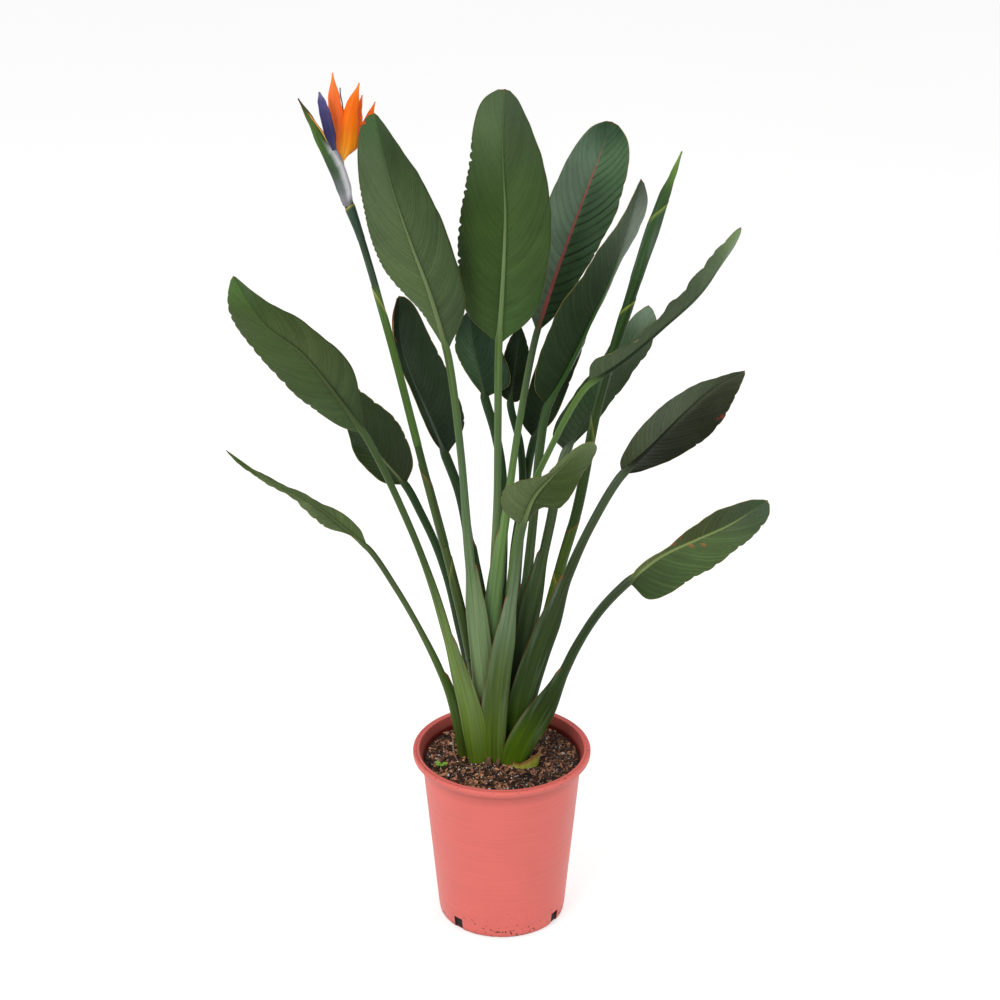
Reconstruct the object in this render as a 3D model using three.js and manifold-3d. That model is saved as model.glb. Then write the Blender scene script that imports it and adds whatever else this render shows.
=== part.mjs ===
// Potted bird of paradise (Strelitzia reginae) in a plain plastic nursery pot.
//
// Millimetres, +Z up. The origin is the middle of the pot's base, on the surface it stands on.
// The plant is seen from the front along +Y, with +X to the right. Every leaf is one body: a broad
// sheath at the foot, a petiole, and a blade folded along its midrib. Each one is drawn through
// a few points chosen along its stem, its midrib and its two edges.

import * as THREE from 'three';
import { mergeVertices } from 'three/addons/utils/BufferGeometryUtils.js';
import Module from 'manifold-3d';

const wasm = await Module();
wasm.setup();

// ---------------------------------------------------------------- driving dimensions

const POT_HEIGHT = 250;
const POT_BASE_RADIUS = 86;
const POT_MOUTH_RADIUS = 108;      // outside of the wall where the rim begins
const POT_RIM_RADIUS = 120;        // outside of the rolled rim
const POT_RIM_INSIDE = 111;        // the mouth flares to this at the top
const POT_RIM_HEIGHT = 11;
const POT_WALL = 2.4;
const POT_FLOOR = 3;
const POT_BASE_ROUND = 5;
const POT_SIDES = 44;

const NOTCH_ANGLES = [-43, 56, 137, 236];   // degrees round from the front
const NOTCH_WIDTH = 11;
const NOTCH_HEIGHT = 15;
const NOTCH_DEPTH = 14;

const SOIL_LEVEL = 232;
const SOIL_LUMP = 1.3;             // height of the lumps in the soil's surface
const SOIL_RINGS = 5;
const FIT = 0.35;                  // clearance between two pieces that touch

const STEM_FOOT = 200;             // the stems stand this high above the pot's base
const STEM_SIDES = 8;
const BLADE_STATIONS = 14;
const BLADE_THICK = 1.1;
const EDGE_THICK = 0.8;
const LEAST_HALF = 1.6;            // the least half width of a blade, where it is drawn to a point
const NARROW = 24;                 // a blade narrower than this is thickened in one direction

const COLOUR = {
  pot: 0xe0736b,
  soil: 0x3a2a22,
  underside: 0x4a6132,
  underPale: 0x5a6e42,
  topside: 0x2f4a38,
  dark: 0x22331f,
  glossy: 0x4c665a,
  scape: 0x456048,
  bud: 0x4f7a35,
  sepal: 0xff7a12,
  petal: 0x39356b,
  stub: 0x9a9a45,
  dry: 0x9c8468,
  seedling: 0x8cb444,
};

// ---------------------------------------------------------------- the leaves
//
// stem: from the foot to the base of the blade. rib: on from there to the tip.
// left and right: the blade's two edges between base and tip. petiole: its radius.
// sheath: half width and half depth, and the height where the sheath's rim ends.
// under: 1 where the front shows the blade's underside, and -1 where it shows its upper side.
// ripple: how far the edges wave, and how many waves they make.

const LEAVES = {
  leaf_centre_tall: {
    stem: [[-8, 32], [-13, 30, 305], [-12, 28, 398], [-9, 24, 504], [-6, 20, 607], [-5, 12, 723], [-4, 2, 829]],
    rib: [[1, -6, 918], [4, -16, 1006], [1, -28, 1092], [4, -44, 1176]],
    left: [[-45, 14, 870], [-55, 12, 960], [-42, 4, 1055], [-26, -14, 1145]],
    right: [[40, 16, 865], [61, 14, 965], [52, 4, 1060], [22, -16, 1145]],
    petiole: 7, sheath: [9, 6, 480], under: 1, ripple: [2, 5], colour: COLOUR.underside,
  },
  leaf_left_tall: {
    stem: [[-22, 2], [-26, -2, 336], [-37, -6, 475], [-44, -14, 565], [-52, -24, 690], [-68, -36, 834]],
    rib: [[-88, -48, 914], [-110, -62, 985], [-131, -80, 1062], [-150, -102, 1163]],
    left: [[-100, -28, 884], [-147, -36, 947], [-170, -50, 1045], [-168, -76, 1130]],
    right: [[-46, -20, 885], [-64, -30, 978], [-94, -48, 1056], [-132, -74, 1126]],
    petiole: 6.5, sheath: [12, 6, 530], under: 1, ripple: [2, 5], colour: COLOUR.underPale,
  },
  leaf_left_broad: {
    stem: [[-33, -10], [-48, -16, 323], [-68, -26, 419], [-90, -36, 511], [-120, -50, 608], [-171, -72, 739]],
    rib: [[-206, -84, 799], [-245, -104, 861], [-287, -128, 908], [-319, -150, 978]],
    left: [[-200, -72, 749], [-245, -82, 787], [-285, -100, 840], [-327, -122, 918]],
    right: [[-176, -64, 780], [-186, -70, 830], [-236, -88, 890], [-292, -112, 936]],
    petiole: 6.5, sheath: [10.5, 6, 430], under: 1, ripple: [3, 4], colour: COLOUR.underPale,
  },
  leaf_left_low: {
    stem: [[-50, 8], [-62, -3, 305], [-82, -14, 375], [-107, -28, 442], [-137, -44, 511], [-171, -60, 576]],
    rib: [[-199, -70, 606], [-229, -80, 639], [-257, -92, 666], [-288, -106, 690], [-340, -135, 746]],
    left: [[-195, -76, 603], [-226, -92, 622], [-252, -98, 654], [-291, -110, 688], [-317, -124, 714]],
    right: [[-181, -60, 604], [-203, -64, 627], [-231, -74, 648], [-286, -102, 692], [-314, -118, 716]],
    petiole: 5, sheath: [7.5, 5.5, 370], under: 1, ripple: [2, 4], colour: COLOUR.underside,
  },
  leaf_left_shaded: {
    stem: [[-40, 42], [-36, 46, 289], [-57, 54, 411], [-84, 62, 512], [-108, 70, 567], [-127, 80, 601]],
    rib: [[-154, 92, 629], [-185, 112, 660], [-212, 138, 692], [-236, 165, 722]],
    left: [[-157, 80, 605], [-189, 95, 630], [-209, 124, 670], [-226, 146, 702]],
    right: [[-117, 74, 634], [-131, 86, 680], [-167, 112, 708], [-208, 142, 724]],
    petiole: 5.5, sheath: [7.5, 5.5, 480], under: -1, ripple: [2, 3], colour: COLOUR.dark,
  },
  leaf_back_left: {
    stem: [[-26, 56], [-20, 54, 308], [-31, 54, 429], [-42, 56, 518], [-55, 62, 595], [-73, 66, 648]],
    rib: [[-94, 74, 700], [-116, 90, 747], [-131, 108, 790], [-134, 130, 852]],
    left: [[-91, 66, 674], [-117, 76, 735], [-138, 94, 785], [-140, 114, 832]],
    right: [[-49, 74, 690], [-64, 86, 745], [-93, 102, 802], [-116, 120, 842]],
    petiole: 6.5, sheath: [9, 5.5, 530], under: -1, ripple: [2, 3], colour: COLOUR.dark,
  },
  leaf_back_right: {
    stem: [[-17, 18], [-14, 13, 309], [-13, 9, 408], [-6, 8, 497], [8, 16, 609], [22, 44, 702], [45, 88, 813]],
    rib: [[68, 102, 883], [92, 118, 949], [119, 136, 1019], [142, 160, 1077]],
    left: [[36, 84, 848], [44, 92, 930], [70, 108, 1012], [110, 136, 1070]],
    right: [[70, 88, 838], [114, 98, 908], [149, 114, 977], [161, 136, 1050]],
    petiole: 6, sheath: [9, 5.5, 570], under: -1, ripple: [2.5, 5], colour: COLOUR.glossy,
  },
  leaf_right_folded: {
    stem: [[18, 39], [22, 39, 300], [28, 36, 424], [36, 32, 515], [43, 30, 595], [49, 30, 673], [59, 34, 734]],
    rib: [[84, 36, 785], [110, 42, 841], [142, 52, 914], [175, 70, 1030]],
    left: [[42, 30, 759], [61, 30, 844], [112, 38, 927], [156, 54, 992]],
    right: [[89, 56, 776], [118, 70, 840], [152, 76, 915], [183, 80, 985]],
    petiole: 6.5, sheath: [9, 6, 480], under: 1, ripple: [1.5, 4], colour: COLOUR.topside,
  },
  leaf_right_shaded: {
    stem: [[10, 66], [15, 66, 285], [18, 66, 408], [23, 68, 512], [32, 72, 612], [42, 76, 668]],
    rib: [[59, 82, 715], [78, 92, 767], [96, 104, 818], [111, 120, 867]],
    left: [[27, 82, 690], [35, 84, 737], [58, 94, 800], [86, 108, 846]],
    right: [[68, 70, 700], [90, 80, 752], [110, 92, 808], [120, 110, 850]],
    petiole: 5.5, sheath: [8, 5.5, 450], under: -1, ripple: [2, 3], colour: COLOUR.dark,
  },
  leaf_centre_shaded: {
    stem: [[-8, 64], [-4, 64, 287], [-1, 64, 409], [2, 64, 529], [0, 62, 631], [-9, 62, 685], [-22, 66, 731]],
    rib: [[-31, 76, 769], [-38, 94, 795], [-43, 124, 832]],
    left: [[-41, 66, 758], [-60, 84, 790], [-56, 108, 818]],
    right: [[10, 72, 748], [0, 90, 788], [-24, 112, 818]],
    petiole: 6, sheath: [8, 5.5, 450], under: -1, ripple: [1.5, 3], colour: COLOUR.topside,
  },
  leaf_centre_small: {
    stem: [[5, 50], [6, 49, 295], [10, 50, 416], [16, 54, 519], [27, 60, 603], [24, 70, 663], [11, 84, 717]],
    rib: [[15, 94, 748], [20, 110, 778], [25, 130, 808]],
    left: [[0, 88, 726], [0, 98, 760], [10, 116, 794]],
    right: [[22, 88, 718], [31, 100, 744], [35, 116, 780]],
    petiole: 5, sheath: [7.5, 5, 450], under: -1, ripple: [1.5, 3], colour: COLOUR.dark,
  },
  leaf_right_grey: {
    stem: [[19, 22], [25, 20, 311], [36, 22, 423], [49, 26, 495], [63, 32, 565], [83, 44, 664]],
    rib: [[104, 52, 699], [129, 64, 746], [159, 80, 792], [191, 104, 848]],
    left: [[66, 50, 684], [85, 54, 729], [117, 66, 768], [166, 88, 832]],
    right: [[128, 64, 706], [161, 80, 747], [192, 94, 790], [201, 104, 820]],
    petiole: 6.5, sheath: [12, 6, 530], under: -1, ripple: [2.5, 4], colour: COLOUR.glossy,
  },
  leaf_right_wavy: {
    stem: [[1, 23], [3, 16, 313], [8, 8, 438], [15, 2, 529], [27, -2, 600], [54, -12, 676], [107, -30, 787]],
    rib: [[147, -52, 826], [197, -72, 880], [244, -92, 937], [285, -112, 1026]],
    left: [[118, -14, 828], [164, -34, 862], [214, -54, 925], [258, -82, 990]],
    right: [[160, -18, 825], [200, -38, 871], [249, -60, 934], [283, -90, 996]],
    petiole: 5.5, sheath: [8, 5.5, 450], under: 1, ripple: [4, 7], colour: COLOUR.underside,
  },
  leaf_right_middle: {
    stem: [[24, 6], [31, 0, 310], [48, -4, 385], [66, -6, 445], [89, -8, 519], [116, -14, 588], [153, -24, 662]],
    rib: [[186, -36, 702], [225, -56, 757], [262, -80, 805], [298, -108, 839]],
    left: [[151, -14, 676], [176, -20, 727], [225, -38, 782], [268, -72, 816]],
    right: [[180, -18, 665], [236, -34, 700], [270, -52, 740], [291, -84, 802]],
    petiole: 6.8, sheath: [13.5, 6.5, 510], under: -1, ripple: [2, 4], colour: COLOUR.dark,
  },
  leaf_right_low: {
    stem: [[13, -12], [28, -14, 255], [41, -16, 285], [56, -20, 317], [75, -27, 362], [98, -36, 422], [127, -46, 479], [162, -60, 528]],
    rib: [[201, -82, 574], [242, -110, 610], [282, -142, 647], [325, -178, 698]],
    left: [[174, -76, 557], [209, -94, 594], [252, -124, 648], [295, -154, 684]],
    right: [[189, -66, 505], [237, -88, 542], [287, -120, 596], [326, -158, 662]],
    petiole: 6.8, sheath: [16, 7, 385], under: -1, ripple: [2.5, 4], colour: COLOUR.topside,
  },
  leaf_front_arching: {
    stem: [[-5, -9], [-6, -12, 275], [-2, -14, 345], [6, -16, 421], [15, -22, 497], [26, -32, 592]],
    rib: [[39, -50, 639], [60, -82, 683], [87, -120, 729], [111, -160, 768]],
    left: [[1, -34, 619], [5, -50, 658], [49, -84, 687], [89, -128, 744]],
    right: [[51, -44, 625], [75, -68, 637], [101, -104, 700], [116, -134, 744]],
    petiole: 6.5, sheath: [12, 6, 490], under: 1, ripple: [2, 4], colour: COLOUR.underPale,
  },
};

// ---------------------------------------------------------------- the flowers

const BLOOM_STEM = [[-26, 32], [-33, 26, 308], [-50, 20, 424], [-73, 12, 536], [-100, 4, 657],
  [-141, -8, 845], [-172, -20, 975], [-187, -27, 1026]];
const BLOOM_STEM_RADII = [5.6, 6.3, 6.3, 5.8, 5.4, 5.2, 6, 7.6];
const SPATHE = [[-187, -27, 1026], [-196, -29.5, 1052], [-207, -33, 1078], [-219, -38, 1107], [-231, -44, 1137],
  [-242, -50, 1161]];
const SPATHE_HALF_HEIGHT = [7.6, 11.5, 10.5, 8, 4.6, 1.2];
const SPATHE_HALF_WIDTH = [7.6, 8.2, 7, 5.2, 3, 1.2];

const FLORET_NECK = [[-192, -30, 1046], [-190.5, -32, 1062], [-192, -33, 1080]];
const SEPALS = [
  { path: [[-192, -33, 1080], [-196, -40, 1114], [-200, -44, 1152], [-200, -44, 1195]], half: [3, 9, 8.5, 1] },
  { path: [[-192, -33, 1080], [-187, -31, 1105], [-181, -28, 1138], [-170, -26, 1176]], half: [3, 9.5, 8.5, 1] },
  { path: [[-192, -33, 1080], [-183, -24, 1101], [-176, -17, 1128], [-167, -12, 1157]], half: [3, 7.5, 6, 1] },
  { path: [[-192, -33, 1080], [-179, -21, 1100], [-166, -12, 1127], [-153, -6, 1147]], half: [3, 4, 3, 1] },
];
const PETAL_NECK = [[-200, -37, 1062], [-199, -43, 1080], [-200, -46, 1096]];
const PETAL = { path: [[-200, -46, 1096], [-203.5, -51, 1114], [-210, -55, 1144], [-216, -58, 1173]], half: [2.2, 8.2, 4.6, 1] };

const BUD_STEM = [[30, 46], [42, 36, 333], [60, 30, 427], [78, 24, 511], [98, 18, 594], [121, 12, 735],
  [140, 9, 815], [158, 6, 882], [171, 4, 930], [184, 0, 976], [198, -3, 1024], [208, -6, 1053], [218, -9, 1084]];
const BUD_STEM_RADII = [6, 7.5, 7.5, 6.6, 6.4, 6, 6, 6.8, 7.6, 8.4, 7, 4, 1.1];

// ---------------------------------------------------------------- small pieces at the foot

const STUB_CENTRE = [43, -4];      // a sheath that was cut short, round the foot of a leaf
const STUB_RADIUS = [17, 20];
const STUB_ANGLES = [-128, 0];
const STUB_HEIGHT = [4, 17];
const STUB_THICK = 2;

const DRY_STRIP = [[-66, 14, 258], [-64.5, -3, 242], [-55, -19, 235.4], [-38, -27, 235.2], [-20, -29, 235]];
const DRY_STRIP_RADIUS = 1.1;

const SEEDLING_FOOT = [-82, -28];
const SEEDLING_HEIGHT = 9;
const SEEDLING_LEAVES = [[20, 10], [140, 9], [215, 8], [290, 9]];   // direction in degrees, length

// ---------------------------------------------------------------- helpers

const vec = (p) => new THREE.Vector3(p[0], p[1], p[2] ?? STEM_FOOT);
const curveThrough = (points) => new THREE.CatmullRomCurve3(points.map(vec));
const smooth = (t) => t * t * (3 - 2 * t);
const clamp01 = (t) => Math.min(1, Math.max(0, t));

// A value read off a list of evenly spaced values.
function along(values, t) {
  const place = clamp01(t) * (values.length - 1);
  const index = Math.min(Math.floor(place), values.length - 2);
  return THREE.MathUtils.lerp(values[index], values[index + 1], smooth(place - index));
}

// A closed three.js geometry made a solid that can be cut and joined.
function solidOf(geometry) {
  const bare = geometry.clone();
  bare.deleteAttribute('normal');
  bare.deleteAttribute('uv');
  const merged = mergeVertices(bare, 1e-4);
  return new wasm.Manifold(new wasm.Mesh({
    numProp: 3,
    vertProperties: Float32Array.from(merged.attributes.position.array),
    triVerts: Uint32Array.from(merged.index.array),
  }));
}

function geometryOf(solid) {
  const mesh = solid.getMesh();
  const geometry = new THREE.BufferGeometry();
  const positions = new Float32Array(mesh.numVert * 3);
  for (let i = 0; i < mesh.numVert; i += 1) {
    for (let k = 0; k < 3; k += 1) positions[3 * i + k] = mesh.vertProperties[mesh.numProp * i + k];
  }
  geometry.setAttribute('position', new THREE.BufferAttribute(positions, 3));
  geometry.setIndex(Array.from(mesh.triVerts));
  geometry.computeVertexNormals();
  return geometry;
}

function indexed(vertices, triangles) {
  const geometry = new THREE.BufferGeometry();
  geometry.setAttribute('position', new THREE.Float32BufferAttribute(vertices.flatMap((v) => [v.x, v.y, v.z]), 3));
  geometry.setIndex(triangles);
  return geometry;
}

// A closed rod. Each station has a point, the direction it runs in, and its half width and depth.
// The width lies across the front view, and the depth at right angles to it.
function rod(stations, sides = STEM_SIDES) {
  const vertices = [];
  const triangles = [];
  for (const { at, run, width, depth } of stations) {
    const across = new THREE.Vector3(0, 1, 0).cross(run).normalize();
    const inward = new THREE.Vector3().crossVectors(run, across).normalize();
    for (let k = 0; k < sides; k += 1) {
      const angle = (2 * Math.PI * k) / sides;
      vertices.push(at.clone().addScaledVector(across, width * Math.cos(angle))
        .addScaledVector(inward, depth * Math.sin(angle)));
    }
  }
  const last = (stations.length - 1) * sides;
  for (let i = 0; i < stations.length - 1; i += 1) {
    for (let k = 0; k < sides; k += 1) {
      const a = i * sides + k;
      const b = i * sides + ((k + 1) % sides);
      triangles.push(a, b, b + sides, a, b + sides, a + sides);
    }
  }
  for (let k = 1; k < sides - 1; k += 1) {
    triangles.push(0, k + 1, k);
    triangles.push(last, last + k, last + k + 1);
  }
  return solidOf(indexed(vertices, triangles));
}

// Stations for a rod along a curve, from one place on it to another.
function rodStations(curve, from, to, count, sizeAt) {
  const stations = [];
  for (let i = 0; i <= count; i += 1) {
    const t = from + ((to - from) * i) / count;
    const at = curve.getPoint(t);
    const [width, depth] = sizeAt(at, t);
    stations.push({ at, run: curve.getTangent(t), width, depth });
  }
  return stations;
}

// A closed sheet through rows of points. Each point has what lies above and below it, and may
// say which way above is. Both faces are split into triangles alike.
function sheet(rows) {
  const count = rows[0].length;
  const upper = [];
  const lower = [];
  rows.forEach((row, i) => row.forEach((cell, j) => {
    const before = rows[Math.max(i - 1, 0)][j].at;
    const after = rows[Math.min(i + 1, rows.length - 1)][j].at;
    const leftward = row[Math.max(j - 1, 0)].at;
    const rightward = row[Math.min(j + 1, count - 1)].at;
    const normal = cell.normal ?? rightward.clone().sub(leftward).cross(after.clone().sub(before)).normalize();
    upper.push(cell.at.clone().addScaledVector(normal, cell.above));
    lower.push(cell.at.clone().addScaledVector(normal, -cell.below));
  }));
  const vertices = [...upper, ...lower];
  const shift = upper.length;
  const triangles = [];
  const quad = (a, b, c, d) => triangles.push(a, b, c, a, c, d);
  for (let i = 0; i < rows.length - 1; i += 1) {
    for (let j = 0; j < count - 1; j += 1) {
      const a = i * count + j;
      quad(a, a + 1, a + count + 1, a + count);
      triangles.push(a + shift, a + count + 1 + shift, a + 1 + shift);
      triangles.push(a + shift, a + count + shift, a + count + 1 + shift);
    }
    const left = i * count;
    const right = left + count - 1;
    quad(left, left + count, left + count + shift, left + shift);
    quad(right, right + shift, right + count + shift, right + count);
  }
  const top = (rows.length - 1) * count;
  for (let j = 0; j < count - 1; j += 1) {
    quad(j, j + shift, j + 1 + shift, j + 1);
    quad(top + j, top + j + 1, top + j + 1 + shift, top + j + shift);
  }
  return solidOf(indexed(vertices, triangles));
}

function piece(name, solid, colour, roughness = 0.5) {
  const material = new THREE.MeshStandardMaterial({ color: colour, roughness, metalness: 0 });
  const mesh = new THREE.Mesh(geometryOf(solid), material);
  mesh.name = name;
  return mesh;
}

// ---------------------------------------------------------------- leaf

// The sheath is broad and flat, narrows to the foot, and runs out into the round petiole.
function stemSize({ petiole, sheath: [width, depth, rim] }, z, grow) {
  const sheathed = smooth(clamp01((rim - z) / 80));
  const spread = 0.72 + 0.28 * smooth(clamp01((z - 225) / 70));
  const halfWidth = THREE.MathUtils.lerp(petiole, width * spread, sheathed);
  const halfDepth = THREE.MathUtils.lerp(petiole * 0.92, depth, sheathed);
  return [halfWidth + grow, halfDepth + grow];
}

function leafLines(leaf) {
  const spine = curveThrough([...leaf.stem, ...leaf.rib]);
  const joint = (leaf.stem.length - 1) / (leaf.stem.length + leaf.rib.length - 1);
  const base = spine.getPoint(joint);
  const tip = leaf.rib.at(-1);
  const leftward = vec(leaf.left[0]).sub(base).normalize().multiplyScalar(leaf.petiole);
  const rightward = vec(leaf.right[0]).sub(base).normalize().multiplyScalar(leaf.petiole);
  const rib = curveThrough([base.toArray(), ...leaf.rib]);
  const left = curveThrough([base.clone().add(leftward).toArray(), ...leaf.left, tip]);
  const right = curveThrough([base.clone().add(rightward).toArray(), ...leaf.right, tip]);
  return { spine, joint, rib, left, right };
}

function blade(leaf, { rib, left, right }) {
  const rows = [];
  for (let i = 0; i <= BLADE_STATIONS; i += 1) {
    const t = (i / BLADE_STATIONS) * 0.985;
    const middle = rib.getPointAt(t);
    const edges = [left.getPointAt(t), right.getPointAt(t)];
    const across = edges[1].clone().sub(edges[0]).normalize();
    const front = across.clone().cross(rib.getTangentAt(t)).normalize();
    const normal = edges[0].distanceTo(edges[1]) < NARROW ? front : undefined;
    const ribWidth = THREE.MathUtils.lerp(leaf.petiole * 0.8, 1.2, Math.sqrt(t));
    const ribDepth = THREE.MathUtils.lerp(leaf.petiole * 1.3, 1.2, Math.sqrt(t));
    const [reach, waves] = leaf.ripple;
    const fade = Math.sin(Math.PI * t);
    const row = [];
    edges.forEach((edge, side) => {
      const outward = edge.clone().sub(middle);
      const sideways = across.clone().multiplyScalar(side === 0 ? -LEAST_HALF : LEAST_HALF);
      if (outward.dot(sideways) < LEAST_HALF * LEAST_HALF) outward.copy(sideways);
      const wave = reach * fade * Math.sin(2 * Math.PI * waves * t + 2.1 * side);
      const rim = middle.clone().add(outward).addScaledVector(front, wave);
      const belly = middle.clone().addScaledVector(outward, 0.55)
        .addScaledVector(front, leaf.under * 0.08 * outward.length() + 0.3 * wave);
      const flank = middle.clone().addScaledVector(outward.clone().normalize(), Math.min(ribWidth, outward.length() * 0.4));
      const edgeCell = { at: rim, normal, above: EDGE_THICK / 2, below: EDGE_THICK / 2 };
      const bellyCell = { at: belly, normal, above: BLADE_THICK / 2, below: BLADE_THICK / 2 };
      const flankCell = leaf.under > 0
        ? { at: flank, normal, above: ribDepth, below: BLADE_THICK / 2 }
        : { at: flank, normal, above: BLADE_THICK / 2, below: ribDepth };
      const half = [edgeCell, bellyCell, flankCell];
      row.push(...(side === 0 ? half : half.reverse()));
    });
    rows.push(row);
  }
  return sheet(rows);
}

function leafBody(leaf) {
  const lines = leafLines(leaf);
  const stem = rodStations(lines.spine, 0, lines.joint, 13, (at) => stemSize(leaf, at.z, 0));
  const end = lines.rib.getPointAt(0.07);
  const run = lines.rib.getTangentAt(0.07);
  stem.push({ at: end, run, width: leaf.petiole * 0.55, depth: leaf.petiole * 0.55 });
  return rod(stem).add(blade(leaf, lines));
}

// The room that a stem needs in the soil.
function leafHole(leaf) {
  const { spine, joint } = leafLines(leaf);
  const stations = rodStations(spine, 0, joint, 13, (at) => stemSize(leaf, at.z, FIT));
  return holeOf(stations);
}

function holeOf(stations) {
  const inSoil = stations.filter((station, i) => i === 0 || stations[i - 1].at.z < SOIL_LEVEL + 10);
  inSoil[0].at.addScaledVector(inSoil[0].run, -FIT);
  return rod(inSoil);
}

// ---------------------------------------------------------------- pot and soil

const wallRadius = (z) => THREE.MathUtils.lerp(POT_BASE_RADIUS, POT_MOUTH_RADIUS, z / (POT_HEIGHT - POT_RIM_HEIGHT));

function lathe(profile, sides = POT_SIDES) {
  const geometry = new THREE.LatheGeometry(profile.map(([r, z]) => new THREE.Vector2(r, z)), sides);
  return geometry.rotateX(Math.PI / 2);
}

function potBody() {
  const rimFoot = POT_HEIGHT - POT_RIM_HEIGHT;
  const body = solidOf(lathe([
    [0, 0],
    [POT_BASE_RADIUS - POT_BASE_ROUND, 0],
    [POT_BASE_RADIUS - 1.4, 1.5],
    [wallRadius(POT_BASE_ROUND), POT_BASE_ROUND],
    [wallRadius(rimFoot - 2), rimFoot - 2],
    [POT_RIM_RADIUS - 2, rimFoot],
    [POT_RIM_RADIUS, rimFoot + 2.5],
    [POT_RIM_RADIUS, POT_HEIGHT - 3],
    [POT_RIM_RADIUS - 2.5, POT_HEIGHT],
    [POT_RIM_INSIDE + 1.5, POT_HEIGHT],
    [POT_RIM_INSIDE, POT_HEIGHT - 1.5],
    [wallRadius(rimFoot - 4) - POT_WALL, rimFoot - 4],
    [wallRadius(POT_FLOOR) - POT_WALL, POT_FLOOR],
    [0, POT_FLOOR],
  ]));
  return NOTCH_ANGLES.reduce((pot, angle) => {
    const notch = new THREE.BoxGeometry(NOTCH_WIDTH, NOTCH_DEPTH, NOTCH_HEIGHT + 2);
    notch.translate(0, -(POT_BASE_RADIUS - NOTCH_DEPTH / 2 + 4), NOTCH_HEIGHT / 2 - 1);
    notch.rotateZ(THREE.MathUtils.degToRad(angle));
    return pot.subtract(solidOf(notch));
  }, body);
}

// Low lumps in the soil's surface, and none at the wall.
function soilHeight(x, y) {
  const lumps = Math.sin(0.11 * x + 1.3) * Math.cos(0.13 * y) + 0.6 * Math.sin(0.21 * y + 0.17 * x);
  return SOIL_LEVEL + SOIL_LUMP * lumps;
}

function soilBody(holes) {
  const inside = (z) => wallRadius(z) - POT_WALL - FIT;
  const floor = POT_FLOOR + FIT;
  const profile = [[0, floor], [inside(floor), floor]];
  for (let i = 0; i <= SOIL_RINGS; i += 1) {
    const share = 1 - i / SOIL_RINGS;
    profile.push([inside(SOIL_LEVEL) * share, SOIL_LEVEL]);
  }
  const geometry = lathe(profile);
  const position = geometry.attributes.position;
  for (let i = 0; i < position.count; i += 1) {
    if (position.getZ(i) > SOIL_LEVEL - 1) {
      const x = position.getX(i);
      const y = position.getY(i);
      const atWall = Math.hypot(x, y) > inside(SOIL_LEVEL) - 1;
      position.setZ(i, atWall ? SOIL_LEVEL : soilHeight(x, y));
    }
  }
  return holes.reduce((soil, hole) => soil.subtract(hole), solidOf(geometry));
}

// ---------------------------------------------------------------- flowers

// Stations for a rod through points, with a half width and a half depth at each of them.
const tapered = (points, widths, depths, count) => rodStations(
  curveThrough(points), 0, 1, count, (at, t) => [along(widths, t), along(depths, t)],
);

// A pointed sepal or petal, hollowed along its middle.
function flowerBlade({ path, half }, hollow) {
  const curve = curveThrough(path);
  const rows = [];
  const stations = 7;
  for (let i = 0; i <= stations; i += 1) {
    const t = (i / stations) * 0.99;
    const at = curve.getPoint(t);
    const across = new THREE.Vector3(0, 1, 0).cross(curve.getTangent(t)).normalize();
    const width = along(half, t);
    const back = new THREE.Vector3(0, 1, 0);
    rows.push([-1, -0.5, 0, 0.5, 1].map((side) => ({
      at: at.clone().addScaledVector(across, side * width).addScaledVector(back, hollow * width * side * side),
      above: side === 0 ? 1.1 : 0.6,
      below: side === 0 ? 1.1 : 0.6,
    })));
  }
  return sheet(rows);
}

function roundStem(points, radii, count, grow) {
  const grown = radii.map((radius) => radius + grow);
  return tapered(points, grown, grown, count);
}

const bloomStem = (grow) => roundStem(BLOOM_STEM, BLOOM_STEM_RADII, 18, grow);
const budStem = (grow) => roundStem(BUD_STEM, BUD_STEM_RADII, 22, grow);

const neckStations = (points, radius) => tapered(points, [radius, radius], [radius, radius], 4);

function bloomScape() {
  const spathe = rod(tapered(SPATHE, SPATHE_HALF_HEIGHT, SPATHE_HALF_WIDTH, 12));
  return rod(bloomStem(0)).add(spathe)
    .subtract(rod(neckStations(FLORET_NECK, 3.2 + FIT), 8))
    .subtract(rod(neckStations(PETAL_NECK, 2.2 + FIT), 8));
}

function bloomSepals() {
  const neck = rod(neckStations(FLORET_NECK, 3.2), 8);
  return SEPALS.reduce((body, sepal) => body.add(flowerBlade(sepal, 0.45)), neck);
}

const bloomPetal = () => rod(neckStations(PETAL_NECK, 2.2), 8).add(flowerBlade(PETAL, -0.35));

// ---------------------------------------------------------------- small pieces at the foot

// A curved plate that stands in the soil, lower at one end.
function cutStub(grow) {
  const rows = [];
  const steps = 8;
  for (let i = 0; i <= steps; i += 1) {
    const share = i / steps;
    const angle = THREE.MathUtils.degToRad(THREE.MathUtils.lerp(...STUB_ANGLES, share));
    const x = STUB_CENTRE[0] + STUB_RADIUS[0] * Math.cos(angle);
    const y = STUB_CENTRE[1] + STUB_RADIUS[1] * Math.sin(angle);
    const top = SOIL_LEVEL + THREE.MathUtils.lerp(...STUB_HEIGHT, smooth(share));
    const cell = (z) => ({ at: new THREE.Vector3(x, y, z), above: STUB_THICK / 2 + grow, below: STUB_THICK / 2 + grow });
    rows.push([cell(top), cell(SOIL_LEVEL - 12 - grow)]);
  }
  return sheet(rows);
}

function dryStrip() {
  const radii = [DRY_STRIP_RADIUS, DRY_STRIP_RADIUS];
  return rod(tapered(DRY_STRIP, radii, radii, 14), 6);
}

function seedlingStem(grow) {
  const [x, y] = SEEDLING_FOOT;
  const stem = new THREE.CylinderGeometry(0.9 + grow, 0.9 + grow, SEEDLING_HEIGHT + 8 + grow, 6);
  stem.rotateX(Math.PI / 2);
  return solidOf(stem.translate(x, y, SOIL_LEVEL + (SEEDLING_HEIGHT - 8 - grow) / 2));
}

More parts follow.
